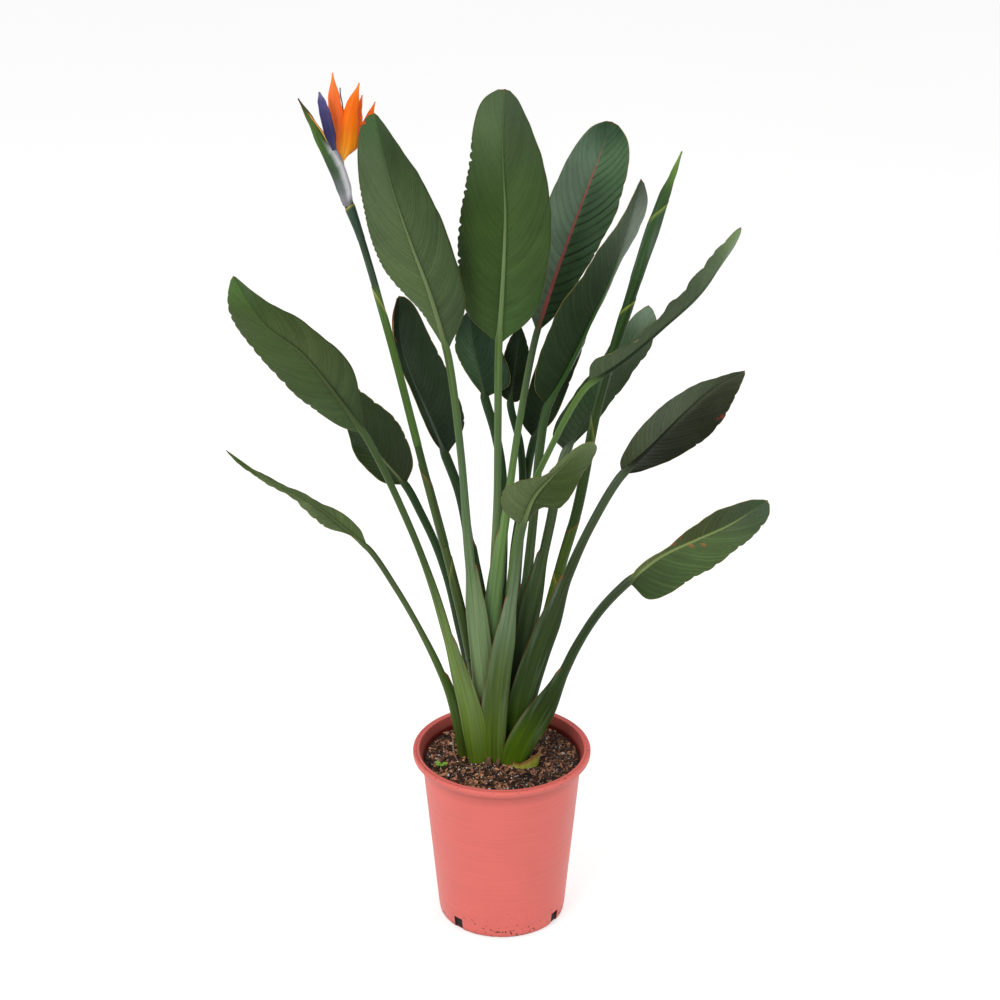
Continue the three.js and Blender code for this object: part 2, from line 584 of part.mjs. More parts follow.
function seedling() {
  const [x, y] = SEEDLING_FOOT;
  return SEEDLING_LEAVES.reduce((body, [direction, length], index) => {
    const rows = [0, 0.35, 0.7, 1].map((t) => [-1, 0, 1].map((side) => {
      const at = new THREE.Vector3(t * length, side * length * 0.38 * Math.sin(Math.PI * (0.12 + 0.83 * t)), 0);
      at.z = 3 * t + index * 0.9;
      at.applyAxisAngle(new THREE.Vector3(0, 0, 1), THREE.MathUtils.degToRad(direction));
      at.add(new THREE.Vector3(x, y, SOIL_LEVEL + SEEDLING_HEIGHT - 4));
      return { at, above: 0.4, below: 0.4 };
    }));
    return body.add(sheet(rows));
  }, seedlingStem(0));
}

// ---------------------------------------------------------------- the whole plant

const plant = new THREE.Group();
const holes = [
  ...Object.values(LEAVES).map(leafHole),
  holeOf(bloomStem(FIT)),
  holeOf(budStem(FIT)),
  cutStub(FIT),
  seedlingStem(FIT),
];

plant.add(piece('pot', potBody(), COLOUR.pot, 0.45));
plant.add(piece('soil', soilBody(holes), COLOUR.soil, 0.95));
for (const [name, leaf] of Object.entries(LEAVES)) plant.add(piece(name, leafBody(leaf), leaf.colour));
plant.add(piece('bloom_scape', bloomScape(), COLOUR.scape));
plant.add(piece('bloom_sepals', bloomSepals(), COLOUR.sepal));
plant.add(piece('bloom_petal', bloomPetal(), COLOUR.petal));
plant.add(piece('bud_scape', rod(budStem(0)), COLOUR.bud));
plant.add(piece('cut_sheath', cutStub(0), COLOUR.stub));
plant.add(piece('dry_strip', dryStrip(), COLOUR.dry, 0.8));
plant.add(piece('seedling', seedling(), COLOUR.seedling));

export default plant;
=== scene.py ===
# %% [markdown]
# # A bird of paradise plant in its nursery pot
#
# *Strelitzia reginae* grows as a fan of long stiff leaves. Each leaf is one thing from the soil to
# its tip: a sheath that clasps its neighbours, a round stalk, and a leathery blade folded along its
# midrib. A flower stands on a stalk of its own, and opens out of a beak-shaped bract.
#
# The solids that carry size and collision come with the frame. Here each one gets a finer piece in
# its place, and every surface gets a finish. All points below are millimetres, as a maker would
# note them, and one number turns them into Blender's metres.

# %% The frame, the units and the seed
import bpy
import math
import numpy as np
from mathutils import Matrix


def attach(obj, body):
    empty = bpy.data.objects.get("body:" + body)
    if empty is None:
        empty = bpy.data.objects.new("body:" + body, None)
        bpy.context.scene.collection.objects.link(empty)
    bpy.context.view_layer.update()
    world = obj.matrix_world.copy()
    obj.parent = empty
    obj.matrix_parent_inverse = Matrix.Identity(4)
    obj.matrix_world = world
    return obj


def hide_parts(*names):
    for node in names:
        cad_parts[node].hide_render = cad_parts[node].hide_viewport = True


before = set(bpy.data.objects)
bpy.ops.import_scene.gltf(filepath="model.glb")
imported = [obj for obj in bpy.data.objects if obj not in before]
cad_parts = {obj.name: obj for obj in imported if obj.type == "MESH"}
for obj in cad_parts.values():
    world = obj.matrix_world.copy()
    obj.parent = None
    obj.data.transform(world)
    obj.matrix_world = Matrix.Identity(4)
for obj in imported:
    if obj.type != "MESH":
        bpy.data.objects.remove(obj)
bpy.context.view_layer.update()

MM = 0.001
chance = np.random.default_rng(20)
print("solids in the frame:", len(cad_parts))

# %% [markdown]
# ## Camera
#
# The camera looks slightly down on the plant from three metres in front of it. A long lens keeps the
# leaves that lean forward from growing too large. The tilt and the distance were found from the
# ellipses of the pot's rim and base, which tell how far one looks down on a round thing.

# %% The camera
CAMERA_PLACE = (-0.0024, -3.0, 1.98)
CAMERA_TILT = 24.45          # degrees below the horizon
CAMERA_LENS = 91.9           # on a sensor 36 mm wide

bpy.ops.object.camera_add(location=CAMERA_PLACE, rotation=(math.radians(90 - CAMERA_TILT), 0, 0))
camera = bpy.context.object
camera.name = "camera"
camera.data.lens = CAMERA_LENS
camera.data.sensor_width = 36
camera.data.clip_end = 60
camera.data.dof.use_dof = False
bpy.context.scene.camera = camera
print("lens", round(camera.data.lens, 1), "mm")

# %% [markdown]
# ## Light
#
# A plant photographed for a catalogue stands in a white tent of light: one large soft lamp in front
# and to the left, weaker ones from the right and from above, and white all round. The lamps could
# be a sun or spots, but only large areas give leaves those long soft reflections. The standard
# view transform keeps a saturated orange as it is, where a filmic one would turn it pale.

# %% The lamps and the floor
def lamp(name, place, aim, side, power):
    """A square lamp of that side in metres, turned to the point that it aims at."""
    bpy.ops.object.light_add(type="AREA", location=place)
    light = bpy.context.object
    light.name = name
    light.data.shape = "SQUARE"
    light.data.size = side
    light.data.energy = power
    across = np.array(aim) - np.array(place)
    turn = math.atan2(across[1], across[0]) - math.pi / 2
    down = math.acos(-across[2] / np.linalg.norm(across))
    light.rotation_euler = (down, 0, turn)


PLANT_MIDDLE = (0, 0, 0.6)
lamp("key_lamp", (-1.9, -2.6, 2.5), PLANT_MIDDLE, side=2.0, power=58)
lamp("fill_lamp", (2.4, -1.8, 1.6), PLANT_MIDDLE, side=2.0, power=11)
lamp("top_lamp", (0.4, 0.9, 3.0), PLANT_MIDDLE, side=1.6, power=12)

world = bpy.data.worlds.new("white_tent")
bpy.context.scene.world = world
world.use_nodes = True
world.node_tree.nodes["Background"].inputs["Color"].default_value = (1, 1, 1, 1)
world.node_tree.nodes["Background"].inputs["Strength"].default_value = 0.5
bpy.context.scene.view_settings.view_transform = "Standard"

bpy.ops.object.select_all(action="DESELECT")
bpy.ops.mesh.primitive_plane_add(size=60, location=(0, 0, -0.0005))
floor = bpy.context.object
floor.name = "floor"

# %% [markdown]
# ## Helpers for finishes
#
# Colours are noted as hex values, as they are seen on a screen. A shader works with linear light, so
# one function turns the one into the other. A second one turns a size in millimetres into the scale
# of a pattern. The others start a material and add one node with its settings and its links, which
# keeps each finish short enough to read from top to bottom.

# %% Colours and nodes
def linear(hex_value):
    """The linear colour of an sRGB hex value such as #ff7a12."""
    steps = [int(hex_value[i:i + 2], 16) / 255 for i in (1, 3, 5)]
    return np.array([s / 12.92 if s <= 0.04045 else ((s + 0.055) / 1.055) ** 2.4 for s in steps] + [1.0])


def scale_for(size):
    """The scale of a pattern whose marks measure this many millimetres, to two figures."""
    return float(f"{1 / (size * MM):.2g}")


def scales_for(sizes):
    """The same for a pattern that is stretched, so that it has a size in each direction."""
    return tuple(scale_for(size) for size in sizes)


def add(tree, kind, inputs=None, **settings):
    """Adds one node. An input may be a value or the socket that feeds it."""
    node = tree.nodes.new(kind)
    for name, value in settings.items():
        setattr(node, name, value)
    for name, value in (inputs or {}).items():
        if isinstance(value, bpy.types.NodeSocket):
            tree.links.new(value, node.inputs[name])
        else:
            node.inputs[name].default_value = value
    return node


def finish_named(name):
    """A new material, its node tree and its shader."""
    material = bpy.data.materials.new(name)
    material.use_nodes = True
    tree = material.node_tree
    return material, tree, tree.nodes["Principled BSDF"]


print("orange in linear light:", linear("#ff7a12").round(3))

# %% [markdown]
# ## The floor's finish
#
# The floor is a sheet of matt white paper. It reflects nearly all that falls on it, with broad faint
# clouds that keep it from looking like a hole in the picture. Lamps behind it light it evenly, which
# a little emission stands for.

# %% Matt paper
paper, tree, shader = finish_named("matt_white_paper")
spots = add(tree, "ShaderNodeTexCoord")
cloud = add(tree, "ShaderNodeTexNoise",
            {"Vector": spots.outputs["Object"], "Scale": scale_for(1430), "Detail": 2.0})
tint = add(tree, "ShaderNodeMix",
           {0: cloud.outputs["Fac"], 6: (0.74, 0.74, 0.735, 1), 7: (0.78, 0.78, 0.78, 1)},
           data_type="RGBA")
tree.links.new(tint.outputs[2], shader.inputs["Base Color"])
shader.inputs["Roughness"].default_value = 0.9
shader.inputs["Specular IOR Level"].default_value = 0.1
shader.inputs["Emission Color"].default_value = (1, 1, 1, 1)
shader.inputs["Emission Strength"].default_value = 0.56
floor.data.materials.append(paper)
print("paper clouds at scale", scale_for(1430))

# %% [markdown]
# ## Curves that a leaf follows
#
# A stalk, a midrib and the edge of a blade are each drawn through a few points. A Bezier curve
# would need handles for each of them. A Catmull-Rom curve needs none, and its centripetal form
# makes no loops where points lie close together, so it suits lines measured off a living thing.

# %% Curves through points
SOIL_FOOT = 200              # a stem's foot, hidden in the soil


def mix(a, b, share):
    """What lies between a and b, at that share of the way."""
    return a + (b - a) * share


def smooth(share):
    """A share from 0 to 1 that starts and ends gently."""
    share = np.clip(share, 0, 1)
    return share * share * (3 - 2 * share)


def unit(vectors):
    """The same directions, one long."""
    return vectors / np.maximum(np.linalg.norm(vectors, axis=-1, keepdims=True), 1e-9)


def curve_through(points):
    """A function that gives the curve's point for each share from 0 to 1."""
    knots = np.array([list(p) if len(p) == 3 else [*p, SOIL_FOOT] for p in points], dtype=float)
    padded = np.vstack([2 * knots[0] - knots[1], knots, 2 * knots[-1] - knots[-2]])
    spans = len(knots) - 1
    nothing = 1e-4                                        # points this close count as one

    def at(share):
        place = np.clip(np.atleast_1d(share).astype(float), 0, 1) * spans
        first = np.minimum(place.astype(int), spans - 1)
        along = (place - first)[:, None]
        a, b, c, d = (padded[first + k] for k in range(4))
        before, here, after = (((q - p) ** 2).sum(1)[:, None] ** 0.25 for p, q in ((a, b), (b, c), (c, d)))
        here = np.where(here < nothing, 1.0, here)
        before = np.where(before < nothing, here, before)
        after = np.where(after < nothing, here, after)
        leave = ((b - a) / before - (c - a) / (before + here) + (c - b) / here) * here
        arrive = ((c - b) / here - (d - b) / (here + after) + (d - c) / after) * here
        square, cube = along ** 2, along ** 3
        return (b + leave * along + (3 * (c - b) - 2 * leave - arrive) * square
                + (2 * (b - c) + leave + arrive) * cube)

    return at


def by_length(curve):
    """The same curve walked at an even pace, and its length."""
    steps = 400
    shares = np.linspace(0, 1, steps + 1)
    walked = np.r_[0, np.cumsum(np.linalg.norm(np.diff(curve(shares), axis=0), axis=1))]
    return lambda share: curve(np.interp(np.atleast_1d(share), walked / walked[-1], shares)), walked[-1]


def heading(curve, share):
    """The direction in which the curve runs at each share."""
    step = 0.004
    share = np.atleast_1d(share)
    return unit(curve(np.minimum(share + step, 1)) - curve(np.maximum(share - step, 0)))


def beside(run):
    """The directions across and into a stalk, for the directions in which it runs."""
    across = unit(np.cross((0.0, 1.0, 0.0), run))
    return across, unit(np.cross(run, across))


straight = curve_through([(0, 0, 0), (0, 0, 5), (0, 0, 10)])
print("a straight line of 10 mm measures", round(by_length(straight)[1], 2))

# %% [markdown]
# ## Skins
#
# A leaf could be cut from a plane with a cutter and bent, or pushed about with proportional editing,
# but its stalk, its fold and its waved edge all have to follow measured lines. So each skin starts as
# a flat grid from the Add menu, and every one of its vertices is carried to its place on the surface.
# The seam of a round skin is then welded, and its ends are gathered to a point so that nothing stays
# open. Values noted on the vertices, such as the distance to a margin, travel with the mesh, and the
# finishes read them.

# %% Skins from grids
def nothing_selected():
    """Leaves edit mode and clears the selection, so that the next tool acts on one thing only."""
    if bpy.context.mode != "OBJECT":
        bpy.ops.object.mode_set(mode="OBJECT")
    bpy.ops.object.select_all(action="DESELECT")


def note(piece, name, values):
    """Keeps a value, a vector or a colour for every vertex."""
    values = np.asarray(values, dtype=np.float32)
    kinds = {1: ("FLOAT", "value"), 3: ("FLOAT_VECTOR", "vector"), 4: ("FLOAT_COLOR", "color")}
    kind, field = kinds[1 if values.ndim == 1 else values.shape[1]]
    layer = piece.data.attributes.new(name, kind, "POINT")
    layer.data.foreach_set(field, values.ravel())


def weld(piece, turn_outwards=True):
    """Joins vertices that lie in one place, so that seams and poles are closed."""
    nothing_selected()
    bpy.context.view_layer.objects.active = piece
    piece.select_set(True)
    bpy.ops.object.mode_set(mode="EDIT")
    bpy.ops.mesh.select_all(action="SELECT")
    bpy.ops.mesh.remove_doubles(threshold=0.01 * MM)
    bpy.ops.mesh.dissolve_degenerate(threshold=0.005 * MM)
    if turn_outwards:
        bpy.ops.mesh.normals_make_consistent(inside=False)
    bpy.ops.object.mode_set(mode="OBJECT")
    bpy.ops.object.shade_smooth()


def skin(name, across, along, carry):
    """A grid whose vertices carry(v, u) takes to their places. v runs across and u along, from 0 to 1."""
    nothing_selected()
    bpy.ops.mesh.primitive_grid_add(x_subdivisions=across, y_subdivisions=along, size=2)
    piece = bpy.context.object
    piece.name = piece.data.name = name
    flat = np.empty(3 * len(piece.data.vertices))
    piece.data.vertices.foreach_get("co", flat)
    v, u = (flat[0::3] + 1) / 2, (flat[1::3] + 1) / 2
    places, notes = carry(v, u)
    piece.data.vertices.foreach_set("co", (places * MM).ravel())
    for kind, values in notes.items():
        note(piece, kind, values)
    piece.data.update()
    return piece


def thicken(piece, thickness, back=0, edge=0):
    """Gives a sheet its thickness. back and edge say how many slots further their materials are."""
    nothing_selected()
    bpy.context.view_layer.objects.active = piece
    piece.select_set(True)
    bpy.ops.object.modifier_add(type="SOLIDIFY")
    wall = piece.modifiers[-1]
    wall.thickness = thickness * MM
    wall.offset = 0
    wall.material_offset = back
    wall.material_offset_rim = edge
    bpy.ops.object.modifier_apply(modifier=wall.name)


def joined(name, pieces):
    """Makes one object of several pieces, under a name."""
    nothing_selected()
    for piece in pieces:
        piece.select_set(True)
    bpy.context.view_layer.objects.active = pieces[0]
    if len(pieces) > 1:
        bpy.ops.object.join()
    whole = bpy.context.view_layer.objects.active
    whole.name = whole.data.name = name
    return whole


def stands_for(piece, slot, *nodes):
    """Rides on the plant's one body and replaces the nodes. The slot is not used."""
    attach(piece, "root")
    if nodes:
        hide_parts(*nodes)


print("skins are noted in", MM, "m per millimetre")

# %% [markdown]
# ## The sixteen leaves
#
# Each leaf is noted by the points of its stalk, its midrib and its two edges, the stalk's radius, and
# the half width, half depth and rim height of its sheath. `under` is 1 where the front shows the
# blade's underside, and -1 where it shows the upper side. `ripple` says how far the edges wave, and
# how often. These are the values that the solids were drawn with, so every skin stays where its
# solid is.

# %% Where the leaves run
LEAVES = {
    "leaf_centre_tall": dict(
        stem=[[-8, 32], [-13, 30, 305], [-12, 28, 398], [-9, 24, 504], [-6, 20, 607], [-5, 12, 723],
              [-4, 2, 829]],
        rib=[[1, -6, 918], [4, -16, 1006], [1, -28, 1092], [4, -44, 1176]],
        left=[[-45, 14, 870], [-55, 12, 960], [-42, 4, 1055], [-26, -14, 1145]],
        right=[[40, 16, 865], [61, 14, 965], [52, 4, 1060], [22, -16, 1145]],
        petiole=7, sheath=(9, 6, 480), under=1, ripple=(2, 5),
    ),
    "leaf_left_tall": dict(
        stem=[[-22, 2], [-26, -2, 336], [-37, -6, 475], [-44, -14, 565], [-52, -24, 690], [-68, -36, 834]],
        rib=[[-88, -48, 914], [-110, -62, 985], [-131, -80, 1062], [-150, -102, 1163]],
        left=[[-100, -28, 884], [-147, -36, 947], [-170, -50, 1045], [-168, -76, 1130]],
        right=[[-46, -20, 885], [-64, -30, 978], [-94, -48, 1056], [-132, -74, 1126]],
        petiole=6.5, sheath=(12, 6, 530), under=1, ripple=(2, 5),
    ),
    "leaf_left_broad": dict(
        stem=[[-33, -10], [-48, -16, 323], [-68, -26, 419], [-90, -36, 511], [-120, -50, 608],
              [-171, -72, 739]],
        rib=[[-206, -84, 799], [-245, -104, 861], [-287, -128, 908], [-319, -150, 978]],
        left=[[-200, -72, 749], [-245, -82, 787], [-285, -100, 840], [-327, -122, 918]],
        right=[[-176, -64, 780], [-186, -70, 830], [-236, -88, 890], [-292, -112, 936]],
        petiole=6.5, sheath=(10.5, 6, 430), under=1, ripple=(3, 4),
    ),
    "leaf_left_low": dict(
        stem=[[-50, 8], [-62, -3, 305], [-82, -14, 375], [-107, -28, 442], [-137, -44, 511],
              [-171, -60, 576]],
        rib=[[-199, -70, 606], [-229, -80, 639], [-257, -92, 666], [-288, -106, 690], [-340, -135, 746]],
        left=[[-195, -76, 603], [-226, -92, 622], [-252, -98, 654], [-291, -110, 688], [-317, -124, 714]],
        right=[[-181, -60, 604], [-203, -64, 627], [-231, -74, 648], [-286, -102, 692], [-314, -118, 716]],
        petiole=5, sheath=(7.5, 5.5, 370), under=1, ripple=(2, 4),
    ),
    "leaf_left_shaded": dict(
        stem=[[-40, 42], [-36, 46, 289], [-57, 54, 411], [-84, 62, 512], [-108, 70, 567], [-127, 80, 601]],
        rib=[[-154, 92, 629], [-185, 112, 660], [-212, 138, 692], [-236, 165, 722]],
        left=[[-157, 80, 605], [-189, 95, 630], [-209, 124, 670], [-226, 146, 702]],
        right=[[-117, 74, 634], [-131, 86, 680], [-167, 112, 708], [-208, 142, 724]],
        petiole=5.5, sheath=(7.5, 5.5, 480), under=-1, ripple=(2, 3),
    ),
    "leaf_back_left": dict(
        stem=[[-26, 56], [-20, 54, 308], [-31, 54, 429], [-42, 56, 518], [-55, 62, 595], [-73, 66, 648]],
        rib=[[-94, 74, 700], [-116, 90, 747], [-131, 108, 790], [-134, 130, 852]],
        left=[[-91, 66, 674], [-117, 76, 735], [-138, 94, 785], [-140, 114, 832]],
        right=[[-49, 74, 690], [-64, 86, 745], [-93, 102, 802], [-116, 120, 842]],
        petiole=6.5, sheath=(9, 5.5, 530), under=-1, ripple=(2, 3),
    ),
    "leaf_back_right": dict(
        stem=[[-17, 18], [-14, 13, 309], [-13, 9, 408], [-6, 8, 497], [8, 16, 609], [22, 44, 702],
              [45, 88, 813]],
        rib=[[68, 102, 883], [92, 118, 949], [119, 136, 1019], [142, 160, 1077]],
        left=[[36, 84, 848], [44, 92, 930], [70, 108, 1012], [110, 136, 1070]],
        right=[[70, 88, 838], [114, 98, 908], [149, 114, 977], [161, 136, 1050]],
        petiole=6, sheath=(9, 5.5, 570), under=-1, ripple=(2.5, 5),
    ),
    "leaf_right_folded": dict(
        stem=[[18, 39], [22, 39, 300], [28, 36, 424], [36, 32, 515], [43, 30, 595], [49, 30, 673],
              [59, 34, 734]],
        rib=[[84, 36, 785], [110, 42, 841], [142, 52, 914], [175, 70, 1030]],
        left=[[42, 30, 759], [61, 30, 844], [112, 38, 927], [156, 54, 992]],
        right=[[89, 56, 776], [118, 70, 840], [152, 76, 915], [183, 80, 985]],
        petiole=6.5, sheath=(9, 6, 480), under=1, ripple=(1.5, 4),
    ),
    "leaf_right_shaded": dict(
        stem=[[10, 66], [15, 66, 285], [18, 66, 408], [23, 68, 512], [32, 72, 612], [42, 76, 668]],
        rib=[[59, 82, 715], [78, 92, 767], [96, 104, 818], [111, 120, 867]],
        left=[[27, 82, 690], [35, 84, 737], [58, 94, 800], [86, 108, 846]],
        right=[[68, 70, 700], [90, 80, 752], [110, 92, 808], [120, 110, 850]],
        petiole=5.5, sheath=(8, 5.5, 450), under=-1, ripple=(2, 3),
    ),
    "leaf_centre_shaded": dict(
        stem=[[-8, 64], [-4, 64, 287], [-1, 64, 409], [2, 64, 529], [0, 62, 631], [-9, 62, 685],
              [-22, 66, 731]],
        rib=[[-31, 76, 769], [-38, 94, 795], [-43, 124, 832]],
        left=[[-41, 66, 758], [-60, 84, 790], [-56, 108, 818]],
        right=[[10, 72, 748], [0, 90, 788], [-24, 112, 818]],
        petiole=6, sheath=(8, 5.5, 450), under=-1, ripple=(1.5, 3),
    ),
    "leaf_centre_small": dict(
        stem=[[5, 50], [6, 49, 295], [10, 50, 416], [16, 54, 519], [27, 60, 603], [24, 70, 663],
              [11, 84, 717]],
        rib=[[15, 94, 748], [20, 110, 778], [25, 130, 808]],
        left=[[0, 88, 726], [0, 98, 760], [10, 116, 794]],
        right=[[22, 88, 718], [31, 100, 744], [35, 116, 780]],
        petiole=5, sheath=(7.5, 5, 450), under=-1, ripple=(1.5, 3),
    ),
    "leaf_right_grey": dict(
        stem=[[19, 22], [25, 20, 311], [36, 22, 423], [49, 26, 495], [63, 32, 565], [83, 44, 664]],
        rib=[[104, 52, 699], [129, 64, 746], [159, 80, 792], [191, 104, 848]],
        left=[[66, 50, 684], [85, 54, 729], [117, 66, 768], [166, 88, 832]],
        right=[[128, 64, 706], [161, 80, 747], [192, 94, 790], [201, 104, 820]],
        petiole=6.5, sheath=(12, 6, 530), under=-1, ripple=(2.5, 4),
    ),
    "leaf_right_wavy": dict(
        stem=[[1, 23], [3, 16, 313], [8, 8, 438], [15, 2, 529], [27, -2, 600], [54, -12, 676],
              [107, -30, 787]],
        rib=[[147, -52, 826], [197, -72, 880], [244, -92, 937], [285, -112, 1026]],
        left=[[118, -14, 828], [164, -34, 862], [214, -54, 925], [258, -82, 990]],
        right=[[160, -18, 825], [200, -38, 871], [249, -60, 934], [283, -90, 996]],
        petiole=5.5, sheath=(8, 5.5, 450), under=1, ripple=(4, 7),
    ),
    "leaf_right_middle": dict(
        stem=[[24, 6], [31, 0, 310], [48, -4, 385], [66, -6, 445], [89, -8, 519], [116, -14, 588],
              [153, -24, 662]],
        rib=[[186, -36, 702], [225, -56, 757], [262, -80, 805], [298, -108, 839]],
        left=[[151, -14, 676], [176, -20, 727], [225, -38, 782], [268, -72, 816]],
        right=[[180, -18, 665], [236, -34, 700], [270, -52, 740], [291, -84, 802]],
        petiole=6.8, sheath=(13.5, 6.5, 510), under=-1, ripple=(2, 4),
    ),
    "leaf_right_low": dict(
        stem=[[13, -12], [28, -14, 255], [41, -16, 285], [56, -20, 317], [75, -27, 362], [98, -36, 422],
              [127, -46, 479], [162, -60, 528]],
        rib=[[201, -82, 574], [242, -110, 610], [282, -142, 647], [325, -178, 698]],
        left=[[174, -76, 557], [209, -94, 594], [252, -124, 648], [295, -154, 684]],
        right=[[189, -66, 505], [237, -88, 542], [287, -120, 596], [326, -158, 662]],
        petiole=6.8, sheath=(16, 7, 385), under=-1, ripple=(2.5, 4),
    ),
    "leaf_front_arching": dict(
        stem=[[-5, -9], [-6, -12, 275], [-2, -14, 345], [6, -16, 421], [15, -22, 497], [26, -32, 592]],
        rib=[[39, -50, 639], [60, -82, 683], [87, -120, 729], [111, -160, 768]],
        left=[[1, -34, 619], [5, -50, 658], [49, -84, 687], [89, -128, 744]],
        right=[[51, -44, 625], [75, -68, 637], [101, -104, 700], [116, -134, 744]],
        petiole=6.5, sheath=(12, 6, 490), under=1, ripple=(2, 4),
    ),
}

print("leaves:", len(LEAVES))

# %% [markdown]
# ## What each leaf looks like
#
# No two leaves have the same green. The leaves that stand behind the others, and their stalks, are
# darker, and that is painted shade; the waxed upper sides are glossy, and the grey-green sheen on some
# halves and tips is painted. Those seen from below are a dull olive, and a young one is lighter at its
# tip. `left` and `right` colour the two halves that the front shows, from base to tip, `behind` the
# other side, `tip` the last part, and `rib` the midrib. `stalk` runs from the foot over the sheath to
# the blade, and `slim` narrows it above the sheath. `hem` is the side on which the sheath's dry brown
# margin shows, and `clasp` how far that margin reaches round its neighbour at the foot. `veining` is
# how strong the side veins are, `pitch` how far apart, `slant` how steep, and `calm` the half where
# they are faint. `rib_wide` widens the midrib. `curl` rolls the two halves, in radians: towards the
# viewer above zero, away from the viewer below it. `nicks` are the small cuts of a dried margin: side,
# from, to, how many, how deep. `notch` is one deeper cut: side, place along, depth, width. `marks` are
# spots: place along, place across, radius in millimetres, colour.

# %% Colours of the leaves
SHADED_STALK = ("#33501a", "#2a4020", "#2c4424", "#2a3f22")

